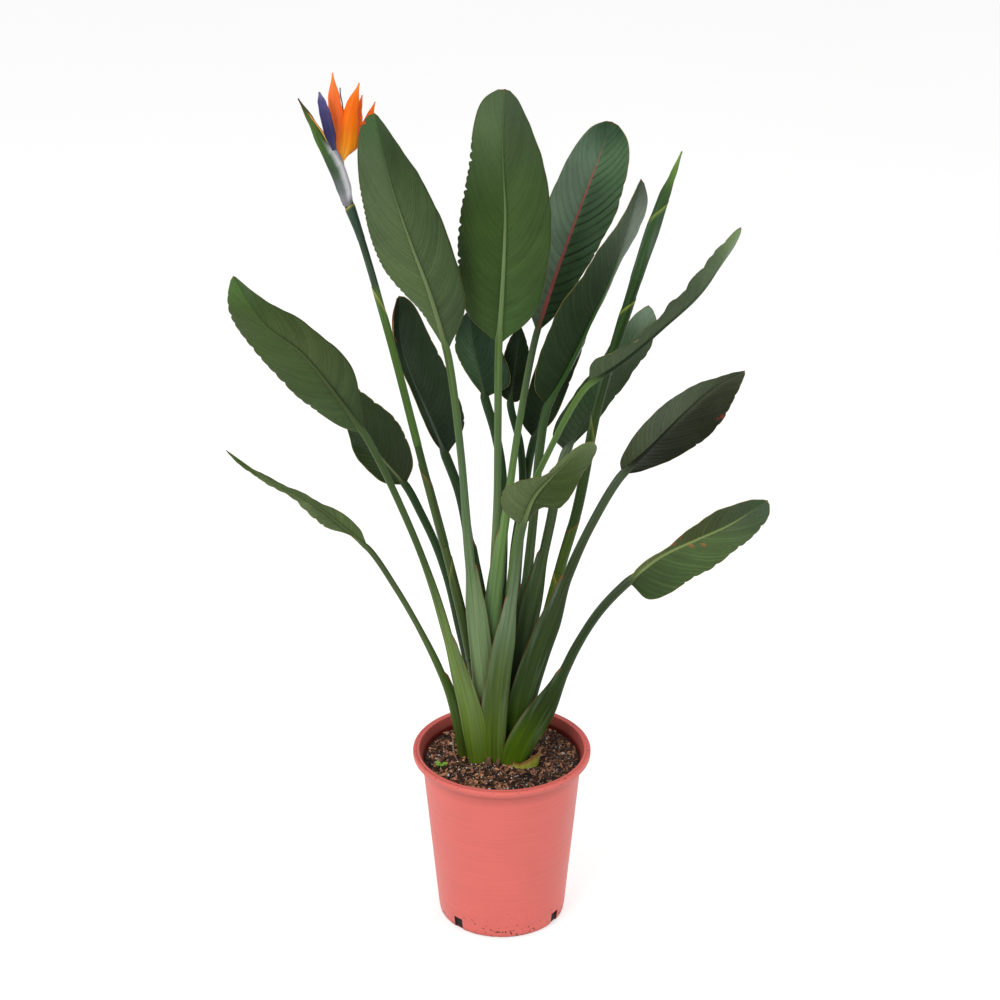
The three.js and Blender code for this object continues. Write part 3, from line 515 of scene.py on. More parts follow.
LOOKS = {
    # The lighter grey-green towards the top of the left half is painted sheen.
    "leaf_centre_tall": dict(
        left=("#32471f", "#304619", "#566c46"), right=("#3d582a", "#3e5528", "#425336"), behind="#2c4a2c",
        tip="#475a3c", rib="#63784a", pitch=0.9, veining=0.7,
        stalk=("#7a9048", "#8b9f68", "#5c7648", "#526b36"), slim=0.7, hem=1, clasp=6,
        nicks=(-1, 0.3, 0.74, 15, 5.2),
    ),
    "leaf_left_tall": dict(
        left=("#4b5e34", "#4a5c38", "#46593a"), right=("#435434", "#465836", "#324422"), behind="#2c4a2c",
        tip="#3f5c30", rib="#63734a", pitch=1.0, veining=1.5,
        stalk=("#6d8248", "#6c8258", "#506742", "#4a6030"), slim=0.76, hem=1, clasp=5,
        nicks=(-1, 0.1, 0.68, 24, 3.4), notch=(-1, 0.93, 5, 0.008),
    ),
    "leaf_left_broad": dict(
        left=("#374928", "#3c4e28", "#3a4e20"), right=("#36482a", "#44532e", "#486030"), behind="#2c4a2c",
        tip="#45662e", rib="#3d4a28", pitch=1.2, veining=0.8,
        stalk=("#5c7420", "#64793f", "#3e5328", "#3c5028"), slim=0.7, hem=1, clasp=11,
        nicks=(-1, 0.2, 0.9, 14, 2.6),
    ),
    "leaf_left_low": dict(
        left=("#596c40", "#62724a", "#4a5a2e"), right=("#53663a", "#5c6d44", "#4a5a2e"), behind="#35522c",
        tip="#47602c", rib="#4e5f38", pitch=1.0, veining=1.2,
        stalk=("#465a1c", "#415822", "#46582f", "#455530"), slim=0.78, hem=1, clasp=6,
        nicks=(-1, 0.3, 0.9, 9, 2.6),
    ),
    "leaf_left_shaded": dict(
        left=("#2a3819", "#29391a", "#1a2612"), right=("#232f15", "#28361a", "#263419"), behind="#45583a",
        tip="#2a371e", rib="#5c6440", pitch=1.1, veining=0.8, stalk=SHADED_STALK, hem=1, clasp=4,
        nicks=(1, 0.3, 0.8, 7, 2.0),
    ),
    "leaf_back_left": dict(
        left=("#1e2c1a", "#32432d", "#1f2d1a"), right=("#1e2c1a", "#2b3c26", "#243420"), behind="#3c5032",
        tip="#232f1c", rib="#4e574a", pitch=1.2, veining=0.9, stalk=SHADED_STALK, hem=1, clasp=4,
        nicks=(1, 0.2, 0.7, 6, 2.0),
    ),
    # The light grey-green of the left half is painted sheen.
    "leaf_back_right": dict(
        left=("#64785f", "#7c937a", "#627d64"), right=("#2f4829", "#486543", "#5c7c58"), behind="#46603c",
        tip="#2a4a2c", rib="#b86460", rib_wide=1.7, pitch=2.1, veining=3.6, calm=-1, slant=(0.4, 1.3),
        stalk=("#3d5424", "#5a7646", "#688848", "#5a6e4a"), slim=0.76, hem=-1, clasp=4,
        nicks=(1, 0.4, 0.8, 5, 1.8),
    ),
    # The grey towards the top of both halves is painted sheen.
    "leaf_right_folded": dict(
        left=("#1c2c14", "#26361f", "#55634f"), right=("#2c4a20", "#56684f", "#828c80"), behind="#27381f",
        tip="#3c4c36", rib="#2c4a1c", rib_wide=1.6, pitch=1.3, veining=1.3,
        stalk=("#3a5218", "#46603c", "#43562f", "#38502a"), slim=0.88, hem=-1, clasp=5,
        nicks=(1, 0.3, 0.8, 5, 1.6),
    ),
    "leaf_right_shaded": dict(
        left=("#1c2a16", "#203018", "#28371f"), right=("#223018", "#26341d", "#28371f"), behind="#3d5232",
        tip="#26341f", rib="#38482f", pitch=1.2, veining=1.0, stalk=SHADED_STALK, hem=-1, clasp=4,
        nicks=(1, 0.4, 0.8, 4, 1.6),
    ),
    "leaf_centre_shaded": dict(
        left=("#34492f", "#405a3c", "#2a3e2a"), right=("#243820", "#2e4430", "#283c26"), behind="#3d5232",
        tip="#26382a", rib="#3f4f36", pitch=1.2, veining=0.6, stalk=SHADED_STALK, hem=1, clasp=4,
        nicks=(-1, 0.4, 0.8, 4, 1.6),
    ),
    "leaf_centre_small": dict(
        left=("#1a2614", "#202e1b", "#24331f"), right=("#1c2817", "#24331d", "#263620"), behind="#3d5232",
        tip="#22311d", rib="#35442c", pitch=1.2, veining=1.0, stalk=SHADED_STALK, hem=1, clasp=3,
        nicks=(1, 0.4, 0.8, 4, 1.6),
    ),
    # The pale grey-green of the tip and of the upper halves is painted sheen.
    "leaf_right_grey": dict(
        left=("#3a4733", "#324a2a", "#485c42"), right=("#283b10", "#34422a", "#56684c"), behind="#6b8560",
        tip="#7c927a", rib="#30422a", pitch=1.3, veining=1.5,
        stalk=("#33480f", "#38492a", "#40532e", "#5c6a50"), hem=-1, clasp=4, nicks=(1, 0.4, 0.8, 5, 1.8),
    ),
    "leaf_right_wavy": dict(
        left=("#46543a", "#46533c", "#5c6e50"), right=("#38462d", "#3c4a33", "#6a7c60"), behind="#33482d",
        tip="#7a9260", rib="#1c2814", rib_wide=1.5, pitch=1.0, veining=1.2, curl=(1.0, -0.9),
        stalk=("#44601a", "#4e6630", "#587638", "#567238"), slim=0.74, hem=-1, clasp=4,
        nicks=(-1, 0.2, 0.9, 10, 3.4),
    ),
    # The grey-green of the left half is partly waxy bloom and partly painted sheen.
    "leaf_right_middle": dict(
        left=("#414a31", "#545e49", "#434c36"), right=("#161c08", "#1b220d", "#2c331b"), behind="#4a5f3a",
        tip="#343d28", rib="#181e10", pitch=1.3, veining=1.0,
        stalk=("#3c570c", "#2a3d14", "#323f22", "#46543a"), slim=0.85, hem=-1, clasp=7,
        nicks=(1, 0.4, 0.9, 6, 1.8), marks=[(0.63, 0.97, 3.5, "#7a2a20"), (0.6, 0.93, 2.5, "#5a2018")],
    ),
    "leaf_right_low": dict(
        left=("#5a683c", "#363f1e", "#3c4a33"), right=("#2f411f", "#44592f", "#3e4f34"), behind="#4f6640",
        tip="#34492e", rib="#74844c", rib_wide=1.4, pitch=1.3, veining=-2.4,
        stalk=("#4c6810", "#24360a", "#2a3a1c", "#34412a"), slim=0.88, hem=-1, clasp=12,
        nicks=(1, 0.3, 0.9, 9, 2.2),
        marks=[(0.44, 0.55, 3.4, "#8a5a2c"), (0.5, 0.63, 2.8, "#94602f"), (0.36, 0.1, 2.6, "#7a3a2a"),
               (0.41, 0.07, 2.2, "#7a3a2a")],
    ),
    "leaf_front_arching": dict(
        left=("#52613b", "#52603a", "#586a3e"), right=("#3c4a29", "#36471c", "#506138"), behind="#3f5832",
        tip="#566a3c", rib="#5c6b3e", pitch=1.0, veining=1.3,
        stalk=("#546a1c", "#455826", "#5c7050", "#465a34"), slim=0.85, hem=-1, clasp=9,
        nicks=(-1, 0.2, 0.8, 8, 2.4), marks=[(0.62, 0.42, 3.0, "#5a4028")],
    ),
}
assert LOOKS.keys() == LEAVES.keys()
print("greens noted:", len({tone for look in LOOKS.values() for tone in look["left"]}))

# %% [markdown]
# ## The finish of a leaf's two sides
#
# A strelitzia blade is as thick as leather, with fine side veins that leave the midrib every few
# millimetres and curve towards the margin. The upper side has a waxed cuticle that shines; the
# underside is dull and a little grey. The colour of each half is kept on the vertices. The veins
# could be modelled, but they are far too fine, so the finish draws them in colour and bump, from the
# distance along and across the blade that every vertex carries.

# %% The two sides of a blade
VEIN_PITCH = 6.4             # between side veins
VEIN_HALF = 1.5              # from a vein's middle to where it has faded
FINE_PITCH = 1.5             # between the finer lines; drawn as coarse as they still show
FINE_HALF = 0.6
VEIN_SLANT = (0.5, 2.3)      # how far a vein climbs for each millimetre outwards, at the base and the tip
BAND_SIZE = (5.9, 71, 111)   # of the bands between the veins
MARGIN_WIDTH = 0.9
DRIED_MARGIN = "#8a7a3c"
WAX_IOR = 1.45


def lines_every(tree, phase, pitch, width):
    """1 on thin lines that repeat every pitch along the phase, and 0 between them."""
    swing = add(tree, "ShaderNodeMath", {0: phase, 1: pitch * MM / 2}, operation="PINGPONG")
    return add(tree, "ShaderNodeMapRange", {0: swing.outputs[0], 1: 0.0, 2: width * MM, 3: 1.0, 4: 0.0},
               interpolation_type="SMOOTHSTEP").outputs[0]


def leaf_side(name, tone_name, roughness, vein_strength, bump_mm, shine):
    """A finish for one side of the blades, coloured by the tone that the vertices carry."""
    material, tree, shader = finish_named(name)
    lie = add(tree, "ShaderNodeAttribute", attribute_name="lie")
    tone = add(tree, "ShaderNodeAttribute", attribute_name=tone_name)
    rib = add(tree, "ShaderNodeAttribute", attribute_name="rib_tone")
    rib_half = add(tree, "ShaderNodeAttribute", attribute_name="rib_half")
    spot = add(tree, "ShaderNodeTexCoord")
    apart = add(tree, "ShaderNodeSeparateXYZ", {0: lie.outputs["Vector"]})
    off_rib = add(tree, "ShaderNodeMath", {0: apart.outputs["X"]}, operation="ABSOLUTE")
    off_edge = apart.outputs["Y"]
    # The veins climb outwards, and wander a little.
    wander = add(tree, "ShaderNodeTexNoise",
                 {"Vector": spot.outputs["Object"], "Scale": scale_for(26), "Detail": 2.0})
    climb = add(tree, "ShaderNodeAttribute", attribute_name="climb")
    phase = add(tree, "ShaderNodeMath", {0: wander.outputs["Fac"], 1: 2.4 * MM, 2: climb.outputs["Fac"]},
                operation="MULTIPLY_ADD")
    veins = lines_every(tree, phase.outputs[0], VEIN_PITCH, VEIN_HALF)
    fine = lines_every(tree, phase.outputs[0], FINE_PITCH, FINE_HALF)
    # Between the veins lie bands that are as long as a vein, and no two alike.
    band_place = add(tree, "ShaderNodeCombineXYZ",
                     {0: phase.outputs[0], 1: off_rib.outputs[0], 2: apart.outputs["X"]})
    band_place = add(tree, "ShaderNodeMapping",
                     {"Vector": band_place.outputs[0], "Scale": scales_for(BAND_SIZE)})
    band_noise = add(tree, "ShaderNodeTexNoise",
                     {"Vector": band_place.outputs[0], "Scale": 1.0, "Detail": 3.0})
    bands = add(tree, "ShaderNodeMapRange", {0: band_noise.outputs["Fac"], 1: 0.34, 2: 0.66, 3: -1.0, 4: 1.0})
    veining = add(tree, "ShaderNodeAttribute", attribute_name="veining")
    strength = add(tree, "ShaderNodeMath", {0: veining.outputs["Fac"], 1: vein_strength},
                   operation="MULTIPLY")
    # Broad clouds and small flecks of lighter and darker green. The veins show more in some places.
    cloud = add(tree, "ShaderNodeTexNoise",
                {"Vector": spot.outputs["Object"], "Scale": scale_for(62), "Detail": 3.0})
    clear = add(tree, "ShaderNodeMapRange", {0: band_noise.outputs["Fac"], 1: 0.35, 2: 0.6, 3: 0.3, 4: 1.35})
    strength = add(tree, "ShaderNodeMath", {0: strength.outputs[0], 1: clear.outputs[0]},
                   operation="MULTIPLY")
    fleck = add(tree, "ShaderNodeTexNoise",
                {"Vector": spot.outputs["Object"], "Scale": scale_for(6.2), "Detail": 3.0})
    light = add(tree, "ShaderNodeMath", {0: veins, 1: strength.outputs[0], 2: 0.62}, operation="MULTIPLY_ADD")
    light = add(tree, "ShaderNodeMath", {0: bands.outputs[0], 1: 0.11, 2: light.outputs[0]},
                operation="MULTIPLY_ADD")
    light = add(tree, "ShaderNodeMath", {0: cloud.outputs["Fac"], 1: 0.54, 2: light.outputs[0]},
                operation="MULTIPLY_ADD")
    light = add(tree, "ShaderNodeMath", {0: fleck.outputs["Fac"], 1: 0.22, 2: light.outputs[0]},
                operation="MULTIPLY_ADD")
    green = add(tree, "ShaderNodeHueSaturation", {"Value": light.outputs[0], "Color": tone.outputs["Color"]})
    # The midrib, and the dry yellow-brown margin.
    on_rib = add(tree, "ShaderNodeMath", {0: off_rib.outputs[0], 1: rib_half.outputs["Fac"]},
                 operation="SUBTRACT")
    on_rib = add(tree, "ShaderNodeMapRange",
                 {0: on_rib.outputs[0], 1: -0.6 * MM, 2: 0.5 * MM, 3: 1.0, 4: 0.0},
                 interpolation_type="SMOOTHSTEP")
    ribbed = add(tree, "ShaderNodeMix", {0: on_rib.outputs[0], 6: green.outputs[0], 7: rib.outputs["Color"]},
                 data_type="RGBA")
    on_margin = add(tree, "ShaderNodeMapRange", {0: off_edge, 1: 0.0, 2: MARGIN_WIDTH * MM, 3: 0.85, 4: 0.0},
                    interpolation_type="SMOOTHSTEP")
    edged = add(tree, "ShaderNodeMix",
                {0: on_margin.outputs[0], 6: ribbed.outputs[2], 7: tuple(linear(DRIED_MARGIN))},
                data_type="RGBA")
    tree.links.new(edged.outputs[2], shader.inputs["Base Color"])
    dull = add(tree, "ShaderNodeMapRange",
               {0: cloud.outputs["Fac"], 1: 0.3, 2: 0.7, 3: roughness - 0.06, 4: roughness + 0.1})
    tree.links.new(dull.outputs[0], shader.inputs["Roughness"])
    ridge = add(tree, "ShaderNodeMath", {0: fine, 1: 0.35, 2: veins}, operation="MULTIPLY_ADD")
    bump = add(tree, "ShaderNodeBump",
               {"Height": ridge.outputs[0], "Strength": 0.5, "Distance": bump_mm * MM})
    tree.links.new(bump.outputs[0], shader.inputs["Normal"])
    shader.inputs["IOR"].default_value = WAX_IOR
    shader.inputs["Specular IOR Level"].default_value = shine
    return material


# The waxed side's veins are darker than the green round them, and the underside's are lighter.
waxed_upper_side = leaf_side("leaf_cuticle_waxed", "upper_tone", roughness=0.33, vein_strength=-0.16,
                             bump_mm=0.7, shine=0.13)
dull_underside = leaf_side("leaf_underside_dull", "under_tone", roughness=0.46, vein_strength=0.14,
                           bump_mm=0.7, shine=0.12)
print("side veins every", VEIN_PITCH, "mm")

# %% [markdown]
# ## The finish of stalks and sheaths
#
# A stalk is smooth and firm, mid green with long pale streaks, and has a bluish bloom of wax that
# rubs off in places. A sheath is bright green at its foot, where little light reaches it, and its
# margin dries to a thin orange-brown line. Streaks that run along a leaning stalk can't come from
# the height above the floor, so they use the place within the stalk that each vertex carries.

# %% Stalks, sheaths and margins
HEM_WIDTH = 3.0              # of a sheath's dry margin
DRY_HEM = "#8e4c28"
BLANCHED_FOOT = "#66801c"
PALE_WAX = "#8fa391"
STREAK_SIZE = (2.4, 2.4, 125)
BLOOM_SIZE = (8.3, 8.3, 200)


def stalk_finish(name, bloom, roughness):
    """A finish for stalks. bloom says how much of the pale wax shows."""
    material, tree, shader = finish_named(name)
    lie = add(tree, "ShaderNodeAttribute", attribute_name="lie")
    tone = add(tree, "ShaderNodeAttribute", attribute_name="stalk_tone")
    hem = add(tree, "ShaderNodeAttribute", attribute_name="hem")
    sheathed = add(tree, "ShaderNodeAttribute", attribute_name="sheathed")
    rubbed = add(tree, "ShaderNodeAttribute", attribute_name="rubbed")
    long_lie = add(tree, "ShaderNodeMapping",
                   {"Vector": lie.outputs["Vector"], "Scale": scales_for(STREAK_SIZE)})
    streak = add(tree, "ShaderNodeTexNoise", {"Vector": long_lie.outputs[0], "Scale": 1.0, "Detail": 3.0})
    wide_lie = add(tree, "ShaderNodeMapping",
                   {"Vector": lie.outputs["Vector"], "Scale": scales_for(BLOOM_SIZE)})
    wax = add(tree, "ShaderNodeTexNoise", {"Vector": wide_lie.outputs[0], "Scale": 1.0, "Detail": 4.0})
    light = add(tree, "ShaderNodeMapRange", {0: streak.outputs["Fac"], 1: 0.3, 2: 0.7, 3: 0.72, 4: 1.26})
    green = add(tree, "ShaderNodeHueSaturation", {"Value": light.outputs[0], "Color": tone.outputs["Color"]})
    # No bloom forms at the foot, which is yellow-green where the light never reached it.
    apart = add(tree, "ShaderNodeSeparateXYZ", {0: lie.outputs["Vector"]})
    bloomed = add(tree, "ShaderNodeMapRange",
                  {0: apart.outputs["Z"], 1: 30 * MM, 2: 130 * MM, 3: 0.0, 4: bloom})
    kept = add(tree, "ShaderNodeMath", {0: 1.0, 1: rubbed.outputs["Fac"]}, operation="SUBTRACT")
    bloomed = add(tree, "ShaderNodeMath", {0: bloomed.outputs[0], 1: kept.outputs[0]}, operation="MULTIPLY")
    waxed = add(tree, "ShaderNodeMapRange",
                {0: wax.outputs["Fac"], 1: 0.5, 2: 0.72, 3: 0.0, 4: bloomed.outputs[0]},
                interpolation_type="SMOOTHSTEP")
    blanched = add(tree, "ShaderNodeMapRange", {0: apart.outputs["Z"], 1: 4 * MM, 2: 42 * MM, 3: 0.7, 4: 0.0},
                   interpolation_type="SMOOTHSTEP")
    blanched = add(tree, "ShaderNodeMath", {0: blanched.outputs[0], 1: sheathed.outputs["Fac"]},
                   operation="MULTIPLY")
    green = add(tree, "ShaderNodeMix",
                {0: blanched.outputs[0], 6: green.outputs[0], 7: tuple(linear(BLANCHED_FOOT))},
                data_type="RGBA")
    pale = add(tree, "ShaderNodeMix", {0: waxed.outputs[0], 6: green.outputs[2], 7: tuple(linear(PALE_WAX))},
               data_type="RGBA")
    on_hem = add(tree, "ShaderNodeMapRange",
                 {0: hem.outputs["Fac"], 1: 0.2 * MM, 2: HEM_WIDTH * MM, 3: 1.0, 4: 0.0},
                 interpolation_type="SMOOTHSTEP")
    on_hem = add(tree, "ShaderNodeMath", {0: on_hem.outputs[0], 1: sheathed.outputs["Fac"]},
                 operation="MULTIPLY")
    hemmed = add(tree, "ShaderNodeMix",
                 {0: on_hem.outputs[0], 6: pale.outputs[2], 7: tuple(linear(DRY_HEM))},
                 data_type="RGBA")
    tree.links.new(hemmed.outputs[2], shader.inputs["Base Color"])
    dull = add(tree, "ShaderNodeMapRange",
               {0: wax.outputs["Fac"], 1: 0.3, 2: 0.7, 3: roughness - 0.05, 4: roughness + 0.12})
    tree.links.new(dull.outputs[0], shader.inputs["Roughness"])
    bump = add(tree, "ShaderNodeBump",
               {"Height": streak.outputs["Fac"], "Strength": 0.35, "Distance": 0.4 * MM})
    tree.links.new(bump.outputs[0], shader.inputs["Normal"])
    shader.inputs["IOR"].default_value = WAX_IOR
    shader.inputs["Specular IOR Level"].default_value = 0.13
    return material


leaf_stalk = stalk_finish("leaf_stalk_waxed", bloom=0.24, roughness=0.38)

# A blade's cut edge is dry leaf: matt, and patchy yellow-brown.
dry_margin, tree, shader = finish_named("leaf_margin_dry")
spot = add(tree, "ShaderNodeTexCoord")
patch = add(tree, "ShaderNodeTexNoise",
            {"Vector": spot.outputs["Object"], "Scale": scale_for(16.6), "Detail": 3.0})
browns = add(tree, "ShaderNodeMix",
             {0: patch.outputs["Fac"], 6: tuple(linear("#5f6a34")), 7: tuple(linear("#96803f"))},
             data_type="RGBA")
tree.links.new(browns.outputs[2], shader.inputs["Base Color"])
shader.inputs["Roughness"].default_value = 0.7
print("sheath margins", HEM_WIDTH, "mm wide")

# %% [markdown]
# ## A leaf's lines
#
# The spine runs through the stalk and on through the midrib in one sweep, so the stalk turns into
# the midrib with no kink. The blade's edges start on the stalk's two sides and meet at the tip.

# %% The lines of one leaf
RUN_OUT = 80                 # the height over which a sheath turns into a round stalk
ROUNDNESS = 0.92             # a stalk's depth for its width


def leaf_lines(leaf):
    """The spine, the share of it where the blade starts, the midrib, its length and the two edges."""
    spine = curve_through(leaf["stem"] + leaf["rib"])
    joint = (len(leaf["stem"]) - 1) / (len(leaf["stem"]) + len(leaf["rib"]) - 1)
    base, tip = spine(joint)[0], leaf["rib"][-1]
    sides = []
    for side in ("left", "right"):
        start = base + unit(np.array(leaf[side][0], dtype=float) - base) * leaf["petiole"]
        sides.append(by_length(curve_through([start, *leaf[side], tip]))[0])
    rib, length = by_length(curve_through([base, *leaf["rib"]]))
    return spine, joint, rib, length, *sides


def stem_size(leaf, height):
    """Half the width and half the depth: a flat sheath that runs out into a round stalk."""
    width, depth, rim = leaf["sheath"]
    sheathed = smooth((rim - height) / RUN_OUT)
    spread = 0.72 + 0.28 * smooth((height - 225) / 70)
    return mix(leaf["petiole"], width * spread, sheathed), mix(leaf["petiole"] * ROUNDNESS, depth, sheathed)


def gradient(stops, share):
    """A colour between evenly spaced hex values."""
    colours = np.array([linear(stop) for stop in stops])
    place = np.clip(share, 0, 1) * (len(stops) - 1)
    first = np.minimum(place.astype(int), len(stops) - 2)
    return mix(colours[first], colours[first + 1], smooth(place - first)[:, None])


print("the tallest blade is", round(leaf_lines(LEAVES["leaf_centre_tall"])[3]), "mm long")

# %% [markdown]
# ## Blades
#
# Across each row of the grid the blade swells a little towards its underside, and towards the margin
# it waves, with a finer flutter on top. The margin itself is cut by small nicks where it dried, and
# the two halves of one leaf curl. Each blade could be bent by hand with a lattice, but sixteen of them
# are easier to tell apart by a few numbers each. The thickness comes last, so both faces share one
# form.

# %% The form of a blade
ROWS_ALONG = 132
ROWS_ACROSS = 26
TIP_SHARE = 0.985            # a blade's last millimetres are rounded off
SWELL = 0.323                # how far a half bulges, for its width
WAVE_LAG = 2.1               # radians between the waves of the left edge and of the right one
FLUTTER = 0.5                # how far the finer waves reach
FLUTTER_PACE = 3.3           # finer waves to each broad one
LEAST_ROLL = 0.01            # radians; a half that curls less than this stays flat


def nick_depth(look, u, side):
    """How far the margin is eaten in at each place along it."""
    nick_side, start, end, count, depth = look["nicks"]
    share = (u - start) / (end - start)
    lobe = np.abs(np.sin(np.pi * count * share + 0.7 * np.sin(9 * share)))
    uneven = 0.65 + 0.35 * np.sin(23 * share + 1.0)
    eaten = depth * uneven * (1 - lobe) ** 1.6 * (share > 0) * (share < 1)
    return np.where(np.sign(side) == nick_side, eaten, 0.12 * depth * (1 + np.sin(60 * u)) / 2)


def eaten_away(look, u, side, reach):
    """How much the nicks and the notch take off the blade's width. It fades towards the midrib."""
    out = np.abs(side)
    nicked = np.minimum(nick_depth(look, u, side), 0.3 * reach) * out ** 14
    notch_side, place, depth, width = look.get("notch", (1, 1, 0, 1))
    cut = depth * np.exp(-((u - place) / width) ** 2) * (np.sign(side) == notch_side) * out ** 3
    return np.minimum(nicked + cut, 0.8 * reach)


def waved(leaf, u, side, reach):
    """How far the blade stands off its own plane."""
    out = np.abs(side)
    wave_reach, waves = leaf["ripple"]
    fade = np.sin(np.pi * u)
    wave = wave_reach * fade * np.sin(2 * np.pi * waves * u + np.where(side > 0, WAVE_LAG, 0.0))
    flutter = FLUTTER * fade * np.sin(2 * np.pi * (FLUTTER_PACE * waves) * u + 1.7 * side)
    swell = leaf["under"] * SWELL * reach * out * (1 - out)
    return swell + wave * out ** 2 + flutter * out ** 4


def curled(look, u, side):
    """How much of its width a half keeps, seen from the front, and how far it lifts, for its width.
    Measured over the curl the half is as wide as before."""
    out = np.abs(side)
    roll = np.where(side < 0, *look.get("curl", (0, 0))) * smooth(u / 0.12) * (1 - 0.4 * u)
    bent = np.where(np.abs(roll * out) < LEAST_ROLL, LEAST_ROLL, roll * out)
    return np.sin(bent) / bent, (1 - np.cos(bent)) / bent * (np.abs(roll) > LEAST_ROLL)


print("rows on each blade:", ROWS_ALONG, "by", ROWS_ACROSS)

# %% The tones of a blade
DRY_TIP = "#6b4a2c"
TIP_STARTS = 0.78            # from this share on, the tone of the tip takes over


def blade_tones(look, u, side, reach, length):
    """The tones of the side that the front shows, and of the side behind it."""
    over = smooth(0.5 + side / (0.08 + 0.9 * u ** 2))[:, None]
    halves = mix(gradient(look["left"], u), gradient(look["right"], u), over)
    near_tip = smooth((u - TIP_STARTS) / (1 - TIP_STARTS))[:, None]
    shown = mix(halves, linear(look["tip"]), 0.85 * near_tip)
    hidden = mix(linear(look["behind"]) * np.ones_like(halves), linear(look["tip"]), 0.4 * near_tip)
    shown = mix(shown, linear(DRY_TIP), smooth((u - 0.982) / 0.015)[:, None])
    for along, across, radius, hue in look.get("marks", []):
        there = np.hypot((u - along) * length, (side - (2 * across - 1)) * reach)
        shown = mix(shown, linear(hue), smooth(1.4 - there / radius)[:, None])
    return shown, hidden


def blade_notes(leaf, look, u, side, reach, length):
    """All that the finish reads off a vertex: where it lies, and its tones."""
    out = np.abs(side)
    shown, hidden = blade_tones(look, u, side, reach, length)
    slant = mix(*look.get("slant", VEIN_SLANT), u ** 1.5) * (0.75 + 0.5 * out)
    rib_tone = linear(look["rib"]) * np.ones_like(shown)
    fading = 1 - 0.6 * smooth((u - 0.6) / 0.3)
    calmed = np.where(np.sign(side) == look.get("calm", 0), 0.35, 1.0)
    return {
        "lie": np.c_[side * reach, (1 - out) * reach, u * length] * MM,
        "climb": (u * length - slant * out * reach) / look["pitch"] * MM,
        "upper_tone": hidden if leaf["under"] > 0 else shown,
        "under_tone": shown if leaf["under"] > 0 else hidden,
        "rib_tone": mix(rib_tone, shown, 0.9 * smooth((u - 0.7) / 0.24)[:, None]),
        "rib_half": mix(leaf["petiole"] * 0.42, 0.35, np.sqrt(u)) * look.get("rib_wide", 1) * MM,
        "veining": look["veining"] * fading * calmed,
    }


print("the tip's tone takes over from", TIP_STARTS, "of the length on")

# %% One blade
BLADE_THICK = 0.8


def blade_of(name, leaf, look):
    """A leaf's blade: a grid, shaped by the leaf's lines, with its tones, and then thickened."""
    _, _, rib, length, left, right = leaf_lines(leaf)

    def carry(v, u):
        side = 2 * v - 1                                  # -1 at the left edge, 1 at the right one
        out = np.abs(side)
        steady = u * TIP_SHARE
        middle = rib(steady)
        across = unit(right(steady) - left(steady))
        front = unit(np.cross(across, heading(rib, steady)))
        edge = np.where(side[:, None] < 0, left(steady), right(steady))
        outward = (edge - middle) * np.clip((1 - u) / 0.02, 0, 1)[:, None] ** 0.7
        reach = np.linalg.norm(outward, axis=1)
        shorter, deeper = curled(look, u, side)
        lift = waved(leaf, u, side, reach) + deeper * reach * out
        kept = 1 - eaten_away(look, u, side, reach) / np.maximum(reach, 1)
        narrowed = out * shorter * kept
        places = middle + outward * narrowed[:, None] + front * lift[:, None]
        return places, blade_notes(leaf, look, u, side, reach, length)

    piece = skin(name + "_blade", ROWS_ACROSS, ROWS_ALONG, carry)
    weld(piece, turn_outwards=False)
    sides = [dull_underside, waxed_upper_side] if leaf["under"] > 0 else [waxed_upper_side, dull_underside]
    for finish in [*sides, dry_margin]:
        piece.data.materials.append(finish)
    thicken(piece, BLADE_THICK, back=1, edge=2)
    return piece


print("blades are", BLADE_THICK, "mm thick")

# %% [markdown]
# ## Stalks, sheaths and midribs
#
# Sheath, stalk and midrib are one round skin from the soil to the tip. The sheath is flat and drawn
# out to a thin margin on the side where it clasps its neighbour. Past the joint the skin sinks to the
# underside of the blade, where it shows as the raised midrib, and it thins out to the tip.

# %% Round skins
MARGIN_DRAWN = 0.72          # how much a sheath thins towards its margin


def round_skin(name, sides, rows, station):
    """A closed round skin. station(w) gives, for each share from 0 to 1, the middle, the across and
    inward directions, the half width and half depth, the side where a margin is drawn out, how far,
    how strongly the margin is dried, and further notes."""

    def carry(v, u):
        row = u * rows
        share = np.clip((row - 1) / (rows - 2), 0, 1)
        middle, across, inward, width, depth, margin, flange, sheathed, notes = station(share)
        closed = (row < 0.5) | (row > rows - 0.5)
        angle = 2 * np.pi * (v - 0.5) + np.where(margin > 0, 0.0, np.pi)
        near = margin * np.cos(angle)
        pinch = 1 - MARGIN_DRAWN * (flange > 0) * smooth((near - 0.05) / 0.95) * np.minimum(1, flange / 2)
        x = np.where(closed, 0, width * np.cos(angle) + margin * flange * smooth((near - 0.1) / 0.9))
        y = np.where(closed, 0, depth * np.sin(angle) * pinch)
        places = middle + across * x[:, None] + inward * y[:, None]
        girth = np.pi * (3 * (width + depth) - np.sqrt((3 * width + depth) * (width + 3 * depth)))
        walked = np.linalg.norm(np.diff(station(np.linspace(0, 1, 200))[0], axis=0), axis=1).sum() * share
        notes = dict(notes)
        notes["lie"] = np.c_[x, y, walked] * MM
        notes["hem"] = (np.abs(v - 0.5) * girth - notes.pop("frayed", 0)) * MM
        notes["sheathed"] = sheathed
        return places, notes

    piece = skin(name, sides, rows, carry)
    weld(piece)
    return piece


print("at its margin a sheath is", round(100 * (1 - MARGIN_DRAWN)), "% as thick as in the middle")

# %% One stalk with its midrib
STALK_SIDES = 20
STALK_ROWS = 110
STALK_SHARE = 0.58           # of the skin's rows; the others follow the midrib
SOIL_LEVEL = 232
LIGULE_REACH = 3             # the dried collar where a sheath ends


